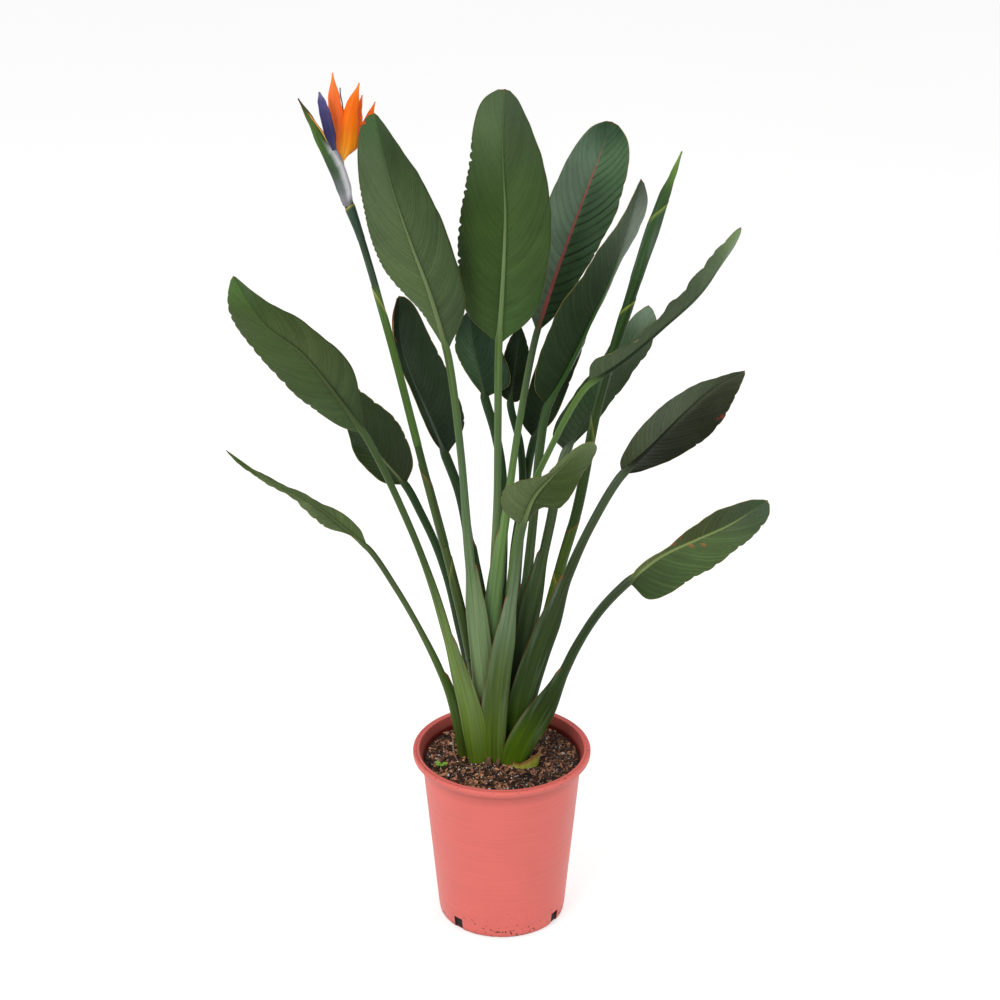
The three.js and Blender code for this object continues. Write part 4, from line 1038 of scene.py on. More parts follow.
def stalk_of(name, leaf, look):
    """A leaf's sheath, stalk and midrib."""
    spine, joint, rib, _, left, right = leaf_lines(leaf)
    rim, top = leaf["sheath"][2], spine(joint)[0, 2]

    def station(share):
        low = np.minimum(share / STALK_SHARE, 1) * joint
        high = np.clip((share - STALK_SHARE) / (1 - STALK_SHARE), 0, 1) * TIP_SHARE
        on_rib = share > STALK_SHARE
        middle = np.where(on_rib[:, None], rib(high), spine(low))
        run = np.where(on_rib[:, None], heading(rib, high), heading(spine, low))
        across, inward = beside(run)
        # From the joint on, the skin turns to lie flat under the blade.
        over = unit(right(high) - left(high))
        front = unit(np.cross(over, run))
        turned = smooth(high / 0.1)[:, None]
        across, inward = unit(mix(across, over, turned)), unit(mix(inward, -front, turned))
        slimmed = mix(1, look.get("slim", 1), smooth(2.2 * (middle[:, 2] - rim) / (top - rim)))
        thin = mix(leaf["petiole"] * 0.74, 0.45, high ** 0.42)
        width, depth = (np.where(on_rib, mix(size * slimmed, thin, smooth(high / 0.08)), size * slimmed)
                        for size in stem_size(leaf, middle[:, 2]))
        sink = leaf["under"] * np.where(on_rib, thin * 0.95 * smooth(high / 0.16), 0)
        middle = middle + front * sink[:, None]
        sheathed = smooth((rim + 2 - middle[:, 2]) / 8) * (~on_rib)
        # The stalk's tone runs up to the joint, the midrib's from there, and fades into the blade's.
        tone = gradient(look["stalk"], (middle[:, 2] - SOIL_LEVEL) / (top - SOIL_LEVEL))
        around = mix(gradient(look["left"], high), gradient(look["right"], high), 0.5)
        near_tip = smooth((high - TIP_STARTS) / (1 - TIP_STARTS))[:, None]
        around = mix(around, linear(look["tip"]), 0.85 * near_tip)
        fading = mix(linear(look["rib"]), around, smooth((high - 0.3) / 0.55)[:, None])
        tone = mix(tone, fading, smooth(high / 0.12)[:, None] * on_rib[:, None])
        below_rim = rim - middle[:, 2]
        flange = smooth(below_rim / 7) * (2.8 + look["clasp"] * smooth((below_rim - 20) / 170)) * ~on_rib
        frayed = LIGULE_REACH * np.exp(-np.abs(below_rim - 3) / 7) * ~on_rib
        return (middle, across, inward, width, depth, np.full(len(share), look["hem"]), flange, sheathed,
                {"stalk_tone": tone, "rubbed": smooth(high / 0.1), "frayed": frayed})

    piece = round_skin(name + "_stalk", STALK_SIDES, STALK_ROWS, station)
    piece.data.materials.append(leaf_stalk)
    return piece


print("rows on each stalk:", STALK_ROWS, "by", STALK_SIDES)

# %% All sixteen leaves
SLOT_OF = {
    "underside": ("leaf_centre_tall", "leaf_left_tall", "leaf_left_broad", "leaf_left_low", "leaf_right_wavy",
                  "leaf_front_arching"),
    "shaded_blade": ("leaf_left_shaded", "leaf_back_left", "leaf_right_shaded", "leaf_centre_shaded",
                     "leaf_centre_small", "leaf_right_middle"),
    "upper_blade": ("leaf_back_right", "leaf_right_folded", "leaf_right_grey", "leaf_right_low"),
}

for slot, names in SLOT_OF.items():
    for name in names:
        leaf, look = LEAVES[name], LOOKS[name]
        whole = joined("living_" + name, [blade_of(name, leaf, look), stalk_of(name, leaf, look)])
        stands_for(whole, slot, name)
print("one leaf has", len(whole.data.polygons), "faces")

# %% [markdown]
# ## The pot
#
# A nursery pot is blown or pressed from polypropylene in one shot: a slightly tapered wall, a rounded
# foot with four drain notches, and a rolled rim that stiffens the mouth. A cylinder could be scaled
# and extruded ring by ring, but the wall is the same all round, so its section is drawn once, a vertex
# at a time, and spun. The notches are cut last, because cut edges spoil a spin.

# %% The pot's section, spun
POT_HEIGHT = 250
POT_BASE_RADIUS = 86
POT_MOUTH_RADIUS = 108
POT_RIM_RADIUS = 120
POT_RIM_INSIDE = 111
POT_RIM_FOOT = 239
POT_WALL = 2.4
POT_FLOOR = 3
FOOT_ROUND = 4.6             # the radius at the foot
BEAD_ROUND = 5               # the rim's lower bead
LIP_ROUND = 2.6              # its upper bead
MOUTH_ROUND = 2              # its edge to the mouth


def wall_radius(height):
    """The radius of the wall's outside at a height."""
    return mix(POT_BASE_RADIUS, POT_MOUTH_RADIUS, height / POT_RIM_FOOT)


def turn_of(middle, radius, start, end, steps):
    """Points on an arc of the section, by its angles in degrees."""
    angles = np.radians(np.linspace(start, end, steps))
    return [(middle[0] + radius * math.cos(a), middle[1] + radius * math.sin(a)) for a in angles]


POT_SECTION = [
    (0, 0), (30, 0), (60, 0), (POT_BASE_RADIUS - 5, 0),
    *turn_of((POT_BASE_RADIUS - FOOT_ROUND, FOOT_ROUND), FOOT_ROUND, -80, -4, 6),
    *[(wall_radius(height), height) for height in range(12, 236, 14)],
    (wall_radius(236.5), 236.5), (wall_radius(238) + 0.6, 238.4),
    (POT_RIM_RADIUS - BEAD_ROUND, POT_RIM_FOOT),
    *turn_of((POT_RIM_RADIUS - BEAD_ROUND, POT_RIM_FOOT + BEAD_ROUND), BEAD_ROUND, -80, 0, 6),
    *turn_of((POT_RIM_RADIUS - LIP_ROUND, POT_HEIGHT - LIP_ROUND), LIP_ROUND, 0, 125, 8),
    (POT_RIM_RADIUS - 2 * LIP_ROUND, POT_HEIGHT - LIP_ROUND / 2),
    *turn_of((POT_RIM_INSIDE + MOUTH_ROUND, POT_HEIGHT - MOUTH_ROUND), MOUTH_ROUND, 60, 180, 6),
    (POT_RIM_INSIDE - 0.6, 243), (wall_radius(235) - POT_WALL, 235),
    *[(wall_radius(height) - POT_WALL, height) for height in (200, 150, 100, 50)],
    (wall_radius(8) - POT_WALL, 8), (wall_radius(POT_FLOOR) - POT_WALL - 3, POT_FLOOR), (40, POT_FLOOR),
    (0, POT_FLOOR),
]
SPIN_STEPS = 144

nothing_selected()
bpy.ops.mesh.primitive_plane_add(size=0.01)
pot = bpy.context.object
bpy.ops.object.mode_set(mode="EDIT")
bpy.ops.mesh.select_all(action="SELECT")
bpy.ops.mesh.merge(type="CENTER")
here = np.array([POT_SECTION[0][0], 0, POT_SECTION[0][1]]) * MM
bpy.ops.transform.translate(value=tuple(here))
for radius, height in POT_SECTION[1:]:
    there = np.array([radius, 0, height]) * MM
    bpy.ops.mesh.extrude_region_move(TRANSFORM_OT_translate={"value": tuple(there - here)})
    here = there
bpy.ops.mesh.select_all(action="SELECT")
bpy.ops.mesh.spin(steps=SPIN_STEPS, angle=2 * math.pi, center=(0, 0, 0), axis=(0, 0, 1))
bpy.ops.object.mode_set(mode="OBJECT")
weld(pot)
print("pot section of", len(POT_SECTION), "points, faces:", len(pot.data.polygons))

# %% The drain notches
NOTCH_ANGLES = (-43, 56, 137, 236)
NOTCH_SIZE = (15, 8, 19)     # width, depth and height
NOTCH_ROUND = 1.2

for angle in NOTCH_ANGLES:
    nothing_selected()
    width, depth, height = NOTCH_SIZE
    turn = math.radians(angle)
    reach = POT_BASE_RADIUS - depth / 2 + 4
    bpy.ops.mesh.primitive_cube_add(
        size=1, scale=(width * MM, depth * MM, (height + 2) * MM), rotation=(0, 0, turn),
        location=(reach * math.sin(turn) * MM, -reach * math.cos(turn) * MM, (height / 2 - 1) * MM))
    cutter = bpy.context.object
    nothing_selected()
    bpy.context.view_layer.objects.active = cutter
    cutter.select_set(True)
    bpy.ops.object.modifier_add(type="BEVEL")
    cutter.modifiers[-1].width = NOTCH_ROUND * MM
    cutter.modifiers[-1].segments = 3
    bpy.ops.object.modifier_apply(modifier=cutter.modifiers[-1].name)
    nothing_selected()
    bpy.context.view_layer.objects.active = pot
    pot.select_set(True)
    bpy.ops.object.modifier_add(type="BOOLEAN")
    cut = pot.modifiers[-1]
    cut.operation = "DIFFERENCE"
    cut.object = cutter
    bpy.ops.object.modifier_apply(modifier=cut.name)
    bpy.data.objects.remove(cutter, do_unlink=True)
nothing_selected()
pot.select_set(True)
bpy.context.view_layer.objects.active = pot
bpy.ops.object.shade_smooth_by_angle(angle=math.radians(35))
pot.name = pot.data.name = "nursery_pot"
stands_for(pot, "pot_plastic", "pot")
print("faces after the cuts:", len(pot.data.polygons))

# %% [markdown]
# ## The pot's finish
#
# Pressed polypropylene in coral is waxy rather than glossy. It shows faint level lines where the melt
# cooled, cloudy patches of pigment, and handling scuffs. Splashes of soil stick near its foot and on
# the rim. The lines depend on height alone, so they come from a noise that is squeezed flat.

# %% Coral polypropylene
CORAL = "#d6685f"
SPLASHED_SOIL = "#26130e"
SHADED_CORAL = "#641008"
LEVEL_LINES = (111, 111, 2.4)   # along, across and upwards

coral, tree, shader = finish_named("polypropylene_coral")
spot = add(tree, "ShaderNodeTexCoord")
high = add(tree, "ShaderNodeSeparateXYZ", {0: spot.outputs["Object"]})
level = add(tree, "ShaderNodeMapping",
            {"Vector": spot.outputs["Object"], "Scale": scales_for(LEVEL_LINES)})
lines = add(tree, "ShaderNodeTexNoise", {"Vector": level.outputs[0], "Scale": 1.0, "Detail": 3.0})
clouds = add(tree, "ShaderNodeTexNoise",
             {"Vector": spot.outputs["Object"], "Scale": scale_for(59), "Detail": 5.0})
grain = add(tree, "ShaderNodeTexNoise",
            {"Vector": spot.outputs["Object"], "Scale": scale_for(2.4), "Detail": 2.0})
value = add(tree, "ShaderNodeMath", {0: lines.outputs["Fac"], 1: 0.16, 2: 0.80}, operation="MULTIPLY_ADD")
value = add(tree, "ShaderNodeMath", {0: clouds.outputs["Fac"], 1: 0.18, 2: value.outputs[0]},
            operation="MULTIPLY_ADD")
value = add(tree, "ShaderNodeMath", {0: grain.outputs["Fac"], 1: 0.06, 2: value.outputs[0]},
            operation="MULTIPLY_ADD")
# Painted shade darkens the wall below the lip and the lip's lower face, and a painted highlight brightens its
# upper edge.
painted_shade_below_lip = add(tree, "ShaderNodeMapRange",
                {0: high.outputs["Z"], 1: POT_RIM_FOOT * MM, 2: 218 * MM, 3: 0.62, 4: 1.0})
painted_lip_shade_and_highlight = add(tree, "ShaderNodeMapRange", {0: high.outputs["Z"], 1: 240 * MM, 2: 249 * MM, 3: 0.66, 4: 1.18})
painted_lip_light_and_shade = add(tree, "ShaderNodeMath", {0: painted_shade_below_lip.outputs[0], 1: painted_lip_shade_and_highlight.outputs[0]}, operation="MAXIMUM")
value = add(tree, "ShaderNodeMath", {0: value.outputs[0], 1: painted_lip_light_and_shade.outputs[0]}, operation="MULTIPLY")
body = add(tree, "ShaderNodeHueSaturation", {"Value": value.outputs[0], "Color": tuple(linear(CORAL))})
# Soil that was splashed on: at the foot, on the rim, and inside the mouth.
crumb = add(tree, "ShaderNodeTexNoise",
            {"Vector": spot.outputs["Object"], "Scale": scale_for(3.8), "Detail": 4.0})
patch = add(tree, "ShaderNodeTexNoise",
            {"Vector": spot.outputs["Object"], "Scale": scale_for(33), "Detail": 2.0})
low = add(tree, "ShaderNodeMapRange", {0: high.outputs["Z"], 1: 2 * MM, 2: 52 * MM, 3: 0.19, 4: 0.0})
rim = add(tree, "ShaderNodeMapRange", {0: high.outputs["Z"], 1: 238 * MM, 2: 248 * MM, 3: 0.0, 4: 0.12})
dirty = add(tree, "ShaderNodeMath", {0: low.outputs[0], 1: rim.outputs[0]}, operation="ADD")
dirty = add(tree, "ShaderNodeMath", {0: patch.outputs["Fac"], 1: 0.16, 2: dirty.outputs[0]},
            operation="MULTIPLY_ADD")
dirt = add(tree, "ShaderNodeMath", {0: crumb.outputs["Fac"], 1: dirty.outputs[0]}, operation="ADD")
dirt = add(tree, "ShaderNodeMapRange", {0: dirt.outputs[0], 1: 0.845, 2: 0.875, 3: 0.0, 4: 0.9})
soiled = add(tree, "ShaderNodeMix", {0: dirt.outputs[0], 6: body.outputs[0], 7: tuple(linear(SPLASHED_SOIL))},
             data_type="RGBA")
# Inside the mouth the wall is stained by wet soil and darkened by painted shade, which deepens the red.
flat_place = add(tree, "ShaderNodeMapping", {"Vector": spot.outputs["Object"], "Scale": (1, 1, 0)})
radius = add(tree, "ShaderNodeVectorMath", {0: flat_place.outputs[0]}, operation="LENGTH")
slope = (POT_MOUTH_RADIUS - POT_BASE_RADIUS) / POT_RIM_FOOT
inner = add(tree, "ShaderNodeMath",
            {0: high.outputs["Z"], 1: slope, 2: (POT_BASE_RADIUS - POT_WALL / 2) * MM},
            operation="MULTIPLY_ADD")
inner = add(tree, "ShaderNodeMath", {0: inner.outputs[0], 1: radius.outputs["Value"]}, operation="SUBTRACT")
inside = add(tree, "ShaderNodeMapRange", {0: inner.outputs[0], 1: -1.0 * MM, 2: 0.6 * MM, 3: 0.0, 4: 1.0})
deep = add(tree, "ShaderNodeMapRange", {0: high.outputs["Z"], 1: 246 * MM, 2: 249.6 * MM, 3: 0.94, 4: 0.0})
inside = add(tree, "ShaderNodeMath", {0: inside.outputs[0], 1: deep.outputs[0]}, operation="MULTIPLY")
stain_and_painted_shade = add(tree, "ShaderNodeMix",
              {0: inside.outputs[0], 6: soiled.outputs[2], 7: tuple(linear(SHADED_CORAL))},
              data_type="RGBA")
tree.links.new(stain_and_painted_shade.outputs[2], shader.inputs["Base Color"])
dull = add(tree, "ShaderNodeMapRange", {0: clouds.outputs["Fac"], 1: 0.3, 2: 0.7, 3: 0.36, 4: 0.5})
tree.links.new(dull.outputs[0], shader.inputs["Roughness"])
bump = add(tree, "ShaderNodeBump", {"Height": lines.outputs["Fac"], "Strength": 0.25, "Distance": 0.3 * MM})
tree.links.new(bump.outputs[0], shader.inputs["Normal"])
shader.inputs["IOR"].default_value = 1.49
shader.inputs["Specular IOR Level"].default_value = 0.32
shader.inputs["Subsurface Weight"].default_value = 0.05
shader.inputs["Subsurface Radius"].default_value = (0.004, 0.0015, 0.001)
pot.data.materials.clear()
pot.data.materials.append(coral)
print("level lines about", LEVEL_LINES[2], "mm apart")

# %% [markdown]
# ## The potting soil
#
# The pot is filled with bark, peat and perlite. The fill itself is one closed body with a lumpy top.
# Its crumbs could all be painted on, but at this size chips and perlite stand up and cast shadows, so
# a few thousand real ones lie on top. One chip is shaped and then repeated in one mesh, each copy
# turned and scaled, because a thousand objects would only slow everything down.

# %% The fill
SOIL_RINGS = 70
SOIL_SIDES = 160
SOIL_GAP = 0.35              # between the soil and the pot
# Shares of the skin: its start, where it meets the wall, where it meets the floor, and its end.
SOIL_TURNS = (0, 0.8, 0.9, 1)


def soil_height(x, y):
    """The lumpy top of the soil, with small crumbs on broad lumps."""
    lumps = np.sin(0.11 * x + 1.3) * np.cos(0.13 * y) + 0.6 * np.sin(0.21 * y + 0.17 * x)
    crumbs = np.sin(0.9 * x + 2 * np.sin(0.5 * y)) * np.cos(0.8 * y + 1.5 * np.sin(0.6 * x))
    return SOIL_LEVEL + 1.3 * lumps + 0.8 * crumbs


def soil_carry(v, u):
    """From the middle of the top, out to the wall, down it, and back under to the middle."""
    angle = 2 * np.pi * v
    side = POT_WALL + SOIL_GAP
    top_radius = wall_radius(SOIL_LEVEL) - side
    foot = POT_FLOOR + SOIL_GAP
    radius = np.interp(u, SOIL_TURNS, (0, top_radius, wall_radius(foot) - side, 0))
    x, y = radius * np.sin(angle), -radius * np.cos(angle)
    off_wall = smooth((top_radius - radius) / 6)          # the soil is level where it meets the wall
    top = mix(SOIL_LEVEL, soil_height(x, y), off_wall)
    below = np.interp(u, SOIL_TURNS[1:], (SOIL_LEVEL, foot, foot))
    return np.c_[x, y, np.where(u <= SOIL_TURNS[1], top, below)], {}


fill = skin("soil_fill", SOIL_SIDES, SOIL_RINGS, soil_carry)
weld(fill)
stands_for(fill, "potting_soil", "soil")
print("fill faces:", len(fill.data.polygons))

# %% Copies in one mesh
FULL_TURN = 6.28             # in radians
CLEAR_OF_STEMS = 7           # crumbs keep this far from the middle of a stem


def turned_by(a, b, c):
    """The matrix that turns a point by three angles, one round each axis."""
    roll = np.array([[1, 0, 0], [0, math.cos(a), -math.sin(a)], [0, math.sin(a), math.cos(a)]])
    tilt = np.array([[math.cos(b), 0, math.sin(b)], [0, 1, 0], [-math.sin(b), 0, math.cos(b)]])
    spin = np.array([[math.cos(c), -math.sin(c), 0], [math.sin(c), math.cos(c), 0], [0, 0, 1]])
    return spin @ tilt @ roll


def repeated(name, model, places, turns, sizes, tones):
    """One mesh that holds a copy of the model for every place. tones colours each copy."""
    corners = np.array([tuple(vertex.co) for vertex in model.data.vertices])
    faces = [tuple(face.vertices) for face in model.data.polygons]
    points, sides, hues = [], [], []
    for k, (place, turn, size) in enumerate(zip(places, turns, sizes)):
        points.append((corners * size) @ turned_by(*turn).T + place)
        sides += [tuple(i + k * len(corners) for i in face) for face in faces]
        hues.append(np.tile(tones[k], (len(corners), 1)))
    mesh = bpy.data.meshes.new(name)
    mesh.from_pydata(np.vstack(points) * MM, [], sides)
    whole = bpy.data.objects.new(name, mesh)
    bpy.context.collection.objects.link(whole)
    note(whole, "crumb_tone", np.vstack(hues))
    bpy.data.objects.remove(model, do_unlink=True)
    return whole


def lying_on_soil(count, reach):
    """Places on the soil, away from the stems that stand in it."""
    feet = [leaf["stem"][1][:2] for leaf in LEAVES.values()]
    places = []
    while len(places) < count:
        angle, radius = chance.uniform(0, 2 * np.pi), reach * math.sqrt(chance.uniform(0, 1))
        x, y = radius * math.cos(angle), radius * math.sin(angle)
        if min(math.hypot(x - fx, y - fy) for fx, fy in feet) > CLEAR_OF_STEMS:
            places.append((x, y, float(soil_height(x, y))))
    return np.array(places)


def rough_lump(size, unevenness):
    """A cube cut once, scaled to a size in millimetres, and dented at random."""
    nothing_selected()
    bpy.ops.mesh.primitive_cube_add(size=1)
    model = bpy.context.object
    bpy.ops.object.mode_set(mode="EDIT")
    bpy.ops.mesh.select_all(action="SELECT")
    bpy.ops.mesh.subdivide(number_cuts=1)
    bpy.ops.transform.resize(value=size)
    bpy.ops.object.mode_set(mode="OBJECT")
    for vertex in model.data.vertices:
        vertex.co = [c * (1 + unevenness * chance.uniform(-1, 1)) for c in vertex.co]
    return model


def tones_between(first, second, places, lean=1.0):
    """A tone for each place, nearer to the first with a larger lean. Painted shade darkens the tones on the
    right side.
    """
    painted_shade = np.where(places[:, :1] > 15, 0.56, 1.0)
    return painted_shade * np.array([mix(linear(first), linear(second), chance.uniform(0, 1) ** lean) for _ in places])


print("x, turned a quarter round z, points to", np.round(turned_by(0, 0, math.pi / 2) @ (1, 0, 0), 3))

# %% Chips, perlite and fibres
TOP_REACH = wall_radius(SOIL_LEVEL) - POT_WALL - 3
CHIPS, PERLITE, FIBRES = 2200, 380, 520

# Bark chips lie nearly flat, and a few are much larger than the rest.
places = lying_on_soil(CHIPS, TOP_REACH)
chips = repeated("bark_chips", rough_lump((2.2, 0.8, 0.5), unevenness=0.45), places + (0, 0, 0.5),
                 np.c_[chance.normal(0, 0.5, (CHIPS, 2)), chance.uniform(0, FULL_TURN, CHIPS)],
                 np.exp(chance.normal(0.74, 0.36, (CHIPS, 1))),
                 tones_between("#140703", "#fcb286", places, lean=2.4))
# Perlite grains are round, so they may lie any way up.
places = lying_on_soil(PERLITE, TOP_REACH)
perlite = repeated("perlite_grains", rough_lump((1, 0.9, 0.8), unevenness=0.35), places + (0, 0, 0.9),
                   chance.uniform(0, FULL_TURN, (PERLITE, 3)),
                   np.exp(chance.normal(0.22, 0.35, (PERLITE, 1))),
                   tones_between("#d4cec4", "#ffffff", places))
# Fibres are long, so they keep a little away from the wall.
places = lying_on_soil(FIBRES, TOP_REACH - 4)
fibres = repeated("bark_fibres", rough_lump((9, 0.35, 0.3), unevenness=0.3), places + (0, 0, 1.4),
                  np.c_[chance.normal(0, 0.2, (FIBRES, 2)), chance.uniform(0, FULL_TURN, FIBRES)],
                  chance.uniform(0.5, 1.1, (FIBRES, 1)),
                  tones_between("#3e1f13", "#e8aa78", places, lean=1.4))
for crumb_piece in (chips, perlite, fibres):
    stands_for(crumb_piece, "potting_soil")
print("crumbs:", CHIPS + PERLITE + FIBRES)

# %% [markdown]
# ## The soil's finish
#
# Moist peat is nearly black, bark is red-brown, and perlite is dull white. Each crumb carries its own
# tone; the fill between them is drawn with noise at the size of a crumb.

# %% Peat, bark and perlite
PEAT_CRUMB = 3
PEAT_LUMP = 4.8
BARK_GRAIN = 1.11

peat, tree, shader = finish_named("peat_moist")
spot = add(tree, "ShaderNodeTexCoord")
crumbs = add(tree, "ShaderNodeTexVoronoi",
             {"Vector": spot.outputs["Object"], "Scale": scale_for(PEAT_CRUMB)})
lumps = add(tree, "ShaderNodeTexNoise",
            {"Vector": spot.outputs["Object"], "Scale": scale_for(PEAT_LUMP), "Detail": 5.0})
browns = add(tree, "ShaderNodeMix",
             {0: lumps.outputs["Fac"], 6: tuple(linear("#0c0604")), 7: tuple(linear("#523427"))},
             data_type="RGBA")
# Painted shade darkens the lowest soil, which the notches show, nearly to black.
high = add(tree, "ShaderNodeSeparateXYZ", {0: spot.outputs["Object"]})
painted_shade = add(tree, "ShaderNodeMapRange", {0: high.outputs["Z"], 1: 25 * MM, 2: 120 * MM, 3: 0.12, 4: 1.0})
browns_in_painted_shade = add(tree, "ShaderNodeHueSaturation", {"Value": painted_shade.outputs[0], "Color": browns.outputs[2]})
tree.links.new(browns_in_painted_shade.outputs[0], shader.inputs["Base Color"])
rough = add(tree, "ShaderNodeMath", {0: crumbs.outputs["Distance"], 1: lumps.outputs["Fac"]}, operation="ADD")
bump = add(tree, "ShaderNodeBump", {"Height": rough.outputs[0], "Strength": 0.9, "Distance": 1.6 * MM})
tree.links.new(bump.outputs[0], shader.inputs["Normal"])
shader.inputs["Roughness"].default_value = 0.9
fill.data.materials.append(peat)

# Bark, fibres and perlite: rough and matt, with a fine grain over the crumb's own tone.
crumb_finish, tree, shader = finish_named("bark_and_perlite")
tone = add(tree, "ShaderNodeAttribute", attribute_name="crumb_tone")
spot = add(tree, "ShaderNodeTexCoord")
grain = add(tree, "ShaderNodeTexNoise",
            {"Vector": spot.outputs["Object"], "Scale": scale_for(BARK_GRAIN), "Detail": 3.0})
light = add(tree, "ShaderNodeMapRange", {0: grain.outputs["Fac"], 1: 0.3, 2: 0.7, 3: 0.7, 4: 1.25})
shade = add(tree, "ShaderNodeHueSaturation", {"Value": light.outputs[0], "Color": tone.outputs["Color"]})
tree.links.new(shade.outputs[0], shader.inputs["Base Color"])
bump = add(tree, "ShaderNodeBump", {"Height": grain.outputs["Fac"], "Strength": 0.5, "Distance": 0.4 * MM})
tree.links.new(bump.outputs[0], shader.inputs["Normal"])
shader.inputs["Roughness"].default_value = 0.85
for crumb_piece in (chips, perlite, fibres):
    crumb_piece.data.materials.append(crumb_finish)
print("crumbs of peat about", PEAT_CRUMB, "mm across")

# %% [markdown]
# ## The flower stalks
#
# Each flower stalk is round, with a few thin bracts that wrap it and end in a point, one above the
# other. The spathe at its top is a beak: round at its root, keeled below, and open along its upper
# edge, where the florets come out. All of it is made as the leaf stalks are, and the bracts are thin
# cuffs of their own that hug the stalk.

# %% Where the flower stalks run
BLOOM_STEM = [[-26, 32], [-33, 26, 308], [-50, 20, 424], [-73, 12, 536], [-100, 4, 657],
              [-141, -8, 845], [-172, -20, 975], [-187, -27, 1026]]
BLOOM_STEM_RADII = [5.6, 6.3, 6.3, 5.6, 5, 4.4, 4.6, 6.2]
SPATHE = [[-187.5, -27, 1024], [-189, -30, 1033], [-192, -33, 1048], [-200, -37, 1074], [-215, -40, 1104],
          [-228, -43, 1133], [-241.5, -50, 1161]]
SPATHE_HALF_HEIGHT = [6.5, 7.6, 9.4, 10, 7.2, 4.4, 0.9]
SPATHE_HALF_WIDTH = [6.5, 7, 7, 6.4, 5, 3.2, 0.9]
SPATHE_LIP = [[-234, -47, 1148], [-225, -45.5, 1134.5], [-214, -44, 1118], [-207, -43, 1106],
              [-201.5, -42, 1097]]
FLORET_NECK = [[-190.8, -34, 1073], [-191.6, -34.5, 1078.5], [-192, -35, 1084]]
SEPALS = [
    dict(path=[[-193, -33, 1083], [-197, -36, 1109], [-197.5, -39.5, 1133], [-199.5, -43, 1157],
               [-200.3, -46, 1192]],
         half=[1.6, 8.6, 9.6, 7.2, 0.6]),
    dict(path=[[-192, -36, 1079], [-186.5, -37, 1103], [-184, -38, 1125], [-178.5, -39, 1148],
               [-169, -40, 1178]],
         half=[1.4, 12, 12.2, 7.4, 0.6]),
    dict(path=[[-192, -31, 1080], [-179, -29, 1103], [-174, -26.5, 1128], [-171, -24, 1142],
               [-167, -22, 1158]],
         half=[1.4, 9.5, 6.5, 3.2, 0.5]),
    dict(path=[[-191.5, -28, 1079], [-173.5, -22.5, 1105], [-160, -17, 1128], [-152.2, -12, 1147]],
         half=[1.4, 5, 4, 0.5]),
]
PETAL_NECK = [[-193.3, -40, 1084], [-196.5, -43.5, 1090.5], [-201, -47, 1100]]
PETAL = dict(path=[[-200.3, -48, 1097.5], [-205, -50, 1119], [-209.5, -52, 1141.5], [-213, -54, 1157],
                   [-216, -56, 1171]],
             half=[2.6, 6.6, 6.6, 5, 1])
STYLE = [[-189, -34, 1136], [-190.6, -34, 1152], [-192.3, -34, 1161], [-192.6, -34, 1170]]
BUD_STEM = [[30, 46], [42, 36, 333], [60, 30, 427], [78, 24, 511], [98, 18, 594], [121, 12, 735],
            [140, 9, 815], [158, 6, 882], [171, 4, 930], [184, 0, 976], [198, -3, 1024], [208, -6, 1053],
            [218, -9, 1084]]
BUD_STEM_RADII = [6, 7.5, 7.5, 6.6, 6.4, 6, 6, 6.8, 7.6, 8.4, 7, 4, 1.1]

print("flower stalks rise to", BLOOM_STEM[-1][2], "and", BUD_STEM[-1][2], "mm")

# %% Skins of the flower stalks and their bracts
BRACT_WRAP = 0.96            # how far a bract reaches round its stalk
BRACT_THICK = 0.35
STALK_WALK = 900             # about the length of a flower stalk


def read_off(values, share):
    """A value between evenly spaced ones."""
    place = np.clip(share, 0, 1) * (len(values) - 1)
    first = np.minimum(place.astype(int), len(values) - 2)
    values = np.array(values, dtype=float)
    return mix(values[first], values[first + 1], smooth(place - first))


def toned(*stops):
    """A function that gives the colour at each share of a stalk."""
    return lambda share: gradient(stops, share)


def unsheathed(count):
    """Notes for a skin without the dry line of a sheath's margin."""
    return {"hem": np.full(count, 1.0), "sheathed": np.zeros(count)}


def flower_stalk(name, points, widths, depths, tone_of, sides=22, rows=120):
    """A round skin through points, with its half widths and half depths at even steps."""
    curve = curve_through(points)

    def station(share):
        none = np.zeros(len(share))
        return (curve(share), *beside(heading(curve, share)), read_off(widths, share),
                read_off(depths, share), np.full(len(share), -1), none, none, {"stalk_tone": tone_of(share)})

    return round_skin(name, sides, rows, station)


def bract(name, points, radii, foot, tip, turn, tone, rim_tone, stand_off=0.55):
    """A thin cuff round a stalk from one share of it to another, cut to a point at its tip."""
    curve = curve_through(points)

    def carry(v, u):
        angle = np.radians(turn) + BRACT_WRAP * np.pi * 2 * (v - 0.5)
        point = 1 - np.abs(2 * v - 1) ** 1.5
        share = foot + (tip - foot) * u * mix(0.72, 1.0, point)
        across, inward = beside(heading(curve, share))
        radius = read_off(radii, share) + stand_off * (0.35 + 0.65 * u)
        outward = across * np.cos(angle)[:, None] + inward * np.sin(angle)[:, None]
        places = curve(share) + outward * radius[:, None]
        rim = smooth((u - 0.93) / 0.06)
        colours = mix(linear(tone), linear(rim_tone), rim[:, None])
        lie = np.c_[radius * np.cos(angle), radius * np.sin(angle), share * STALK_WALK] * MM
        return places, {"stalk_tone": colours, "lie": lie, **unsheathed(len(u))}

    piece = skin(name, 18, 22, carry)
    weld(piece, turn_outwards=False)
    piece.data.materials.append(flower_skin)
    thicken(piece, BRACT_THICK)
    return piece


# A flower stalk is as smooth as a leaf's, with a little more of the pale wax.
flower_skin = stalk_finish("flower_stalk_bloomed", bloom=0.26, roughness=0.4)
print("bracts are", BRACT_THICK, "mm thick")

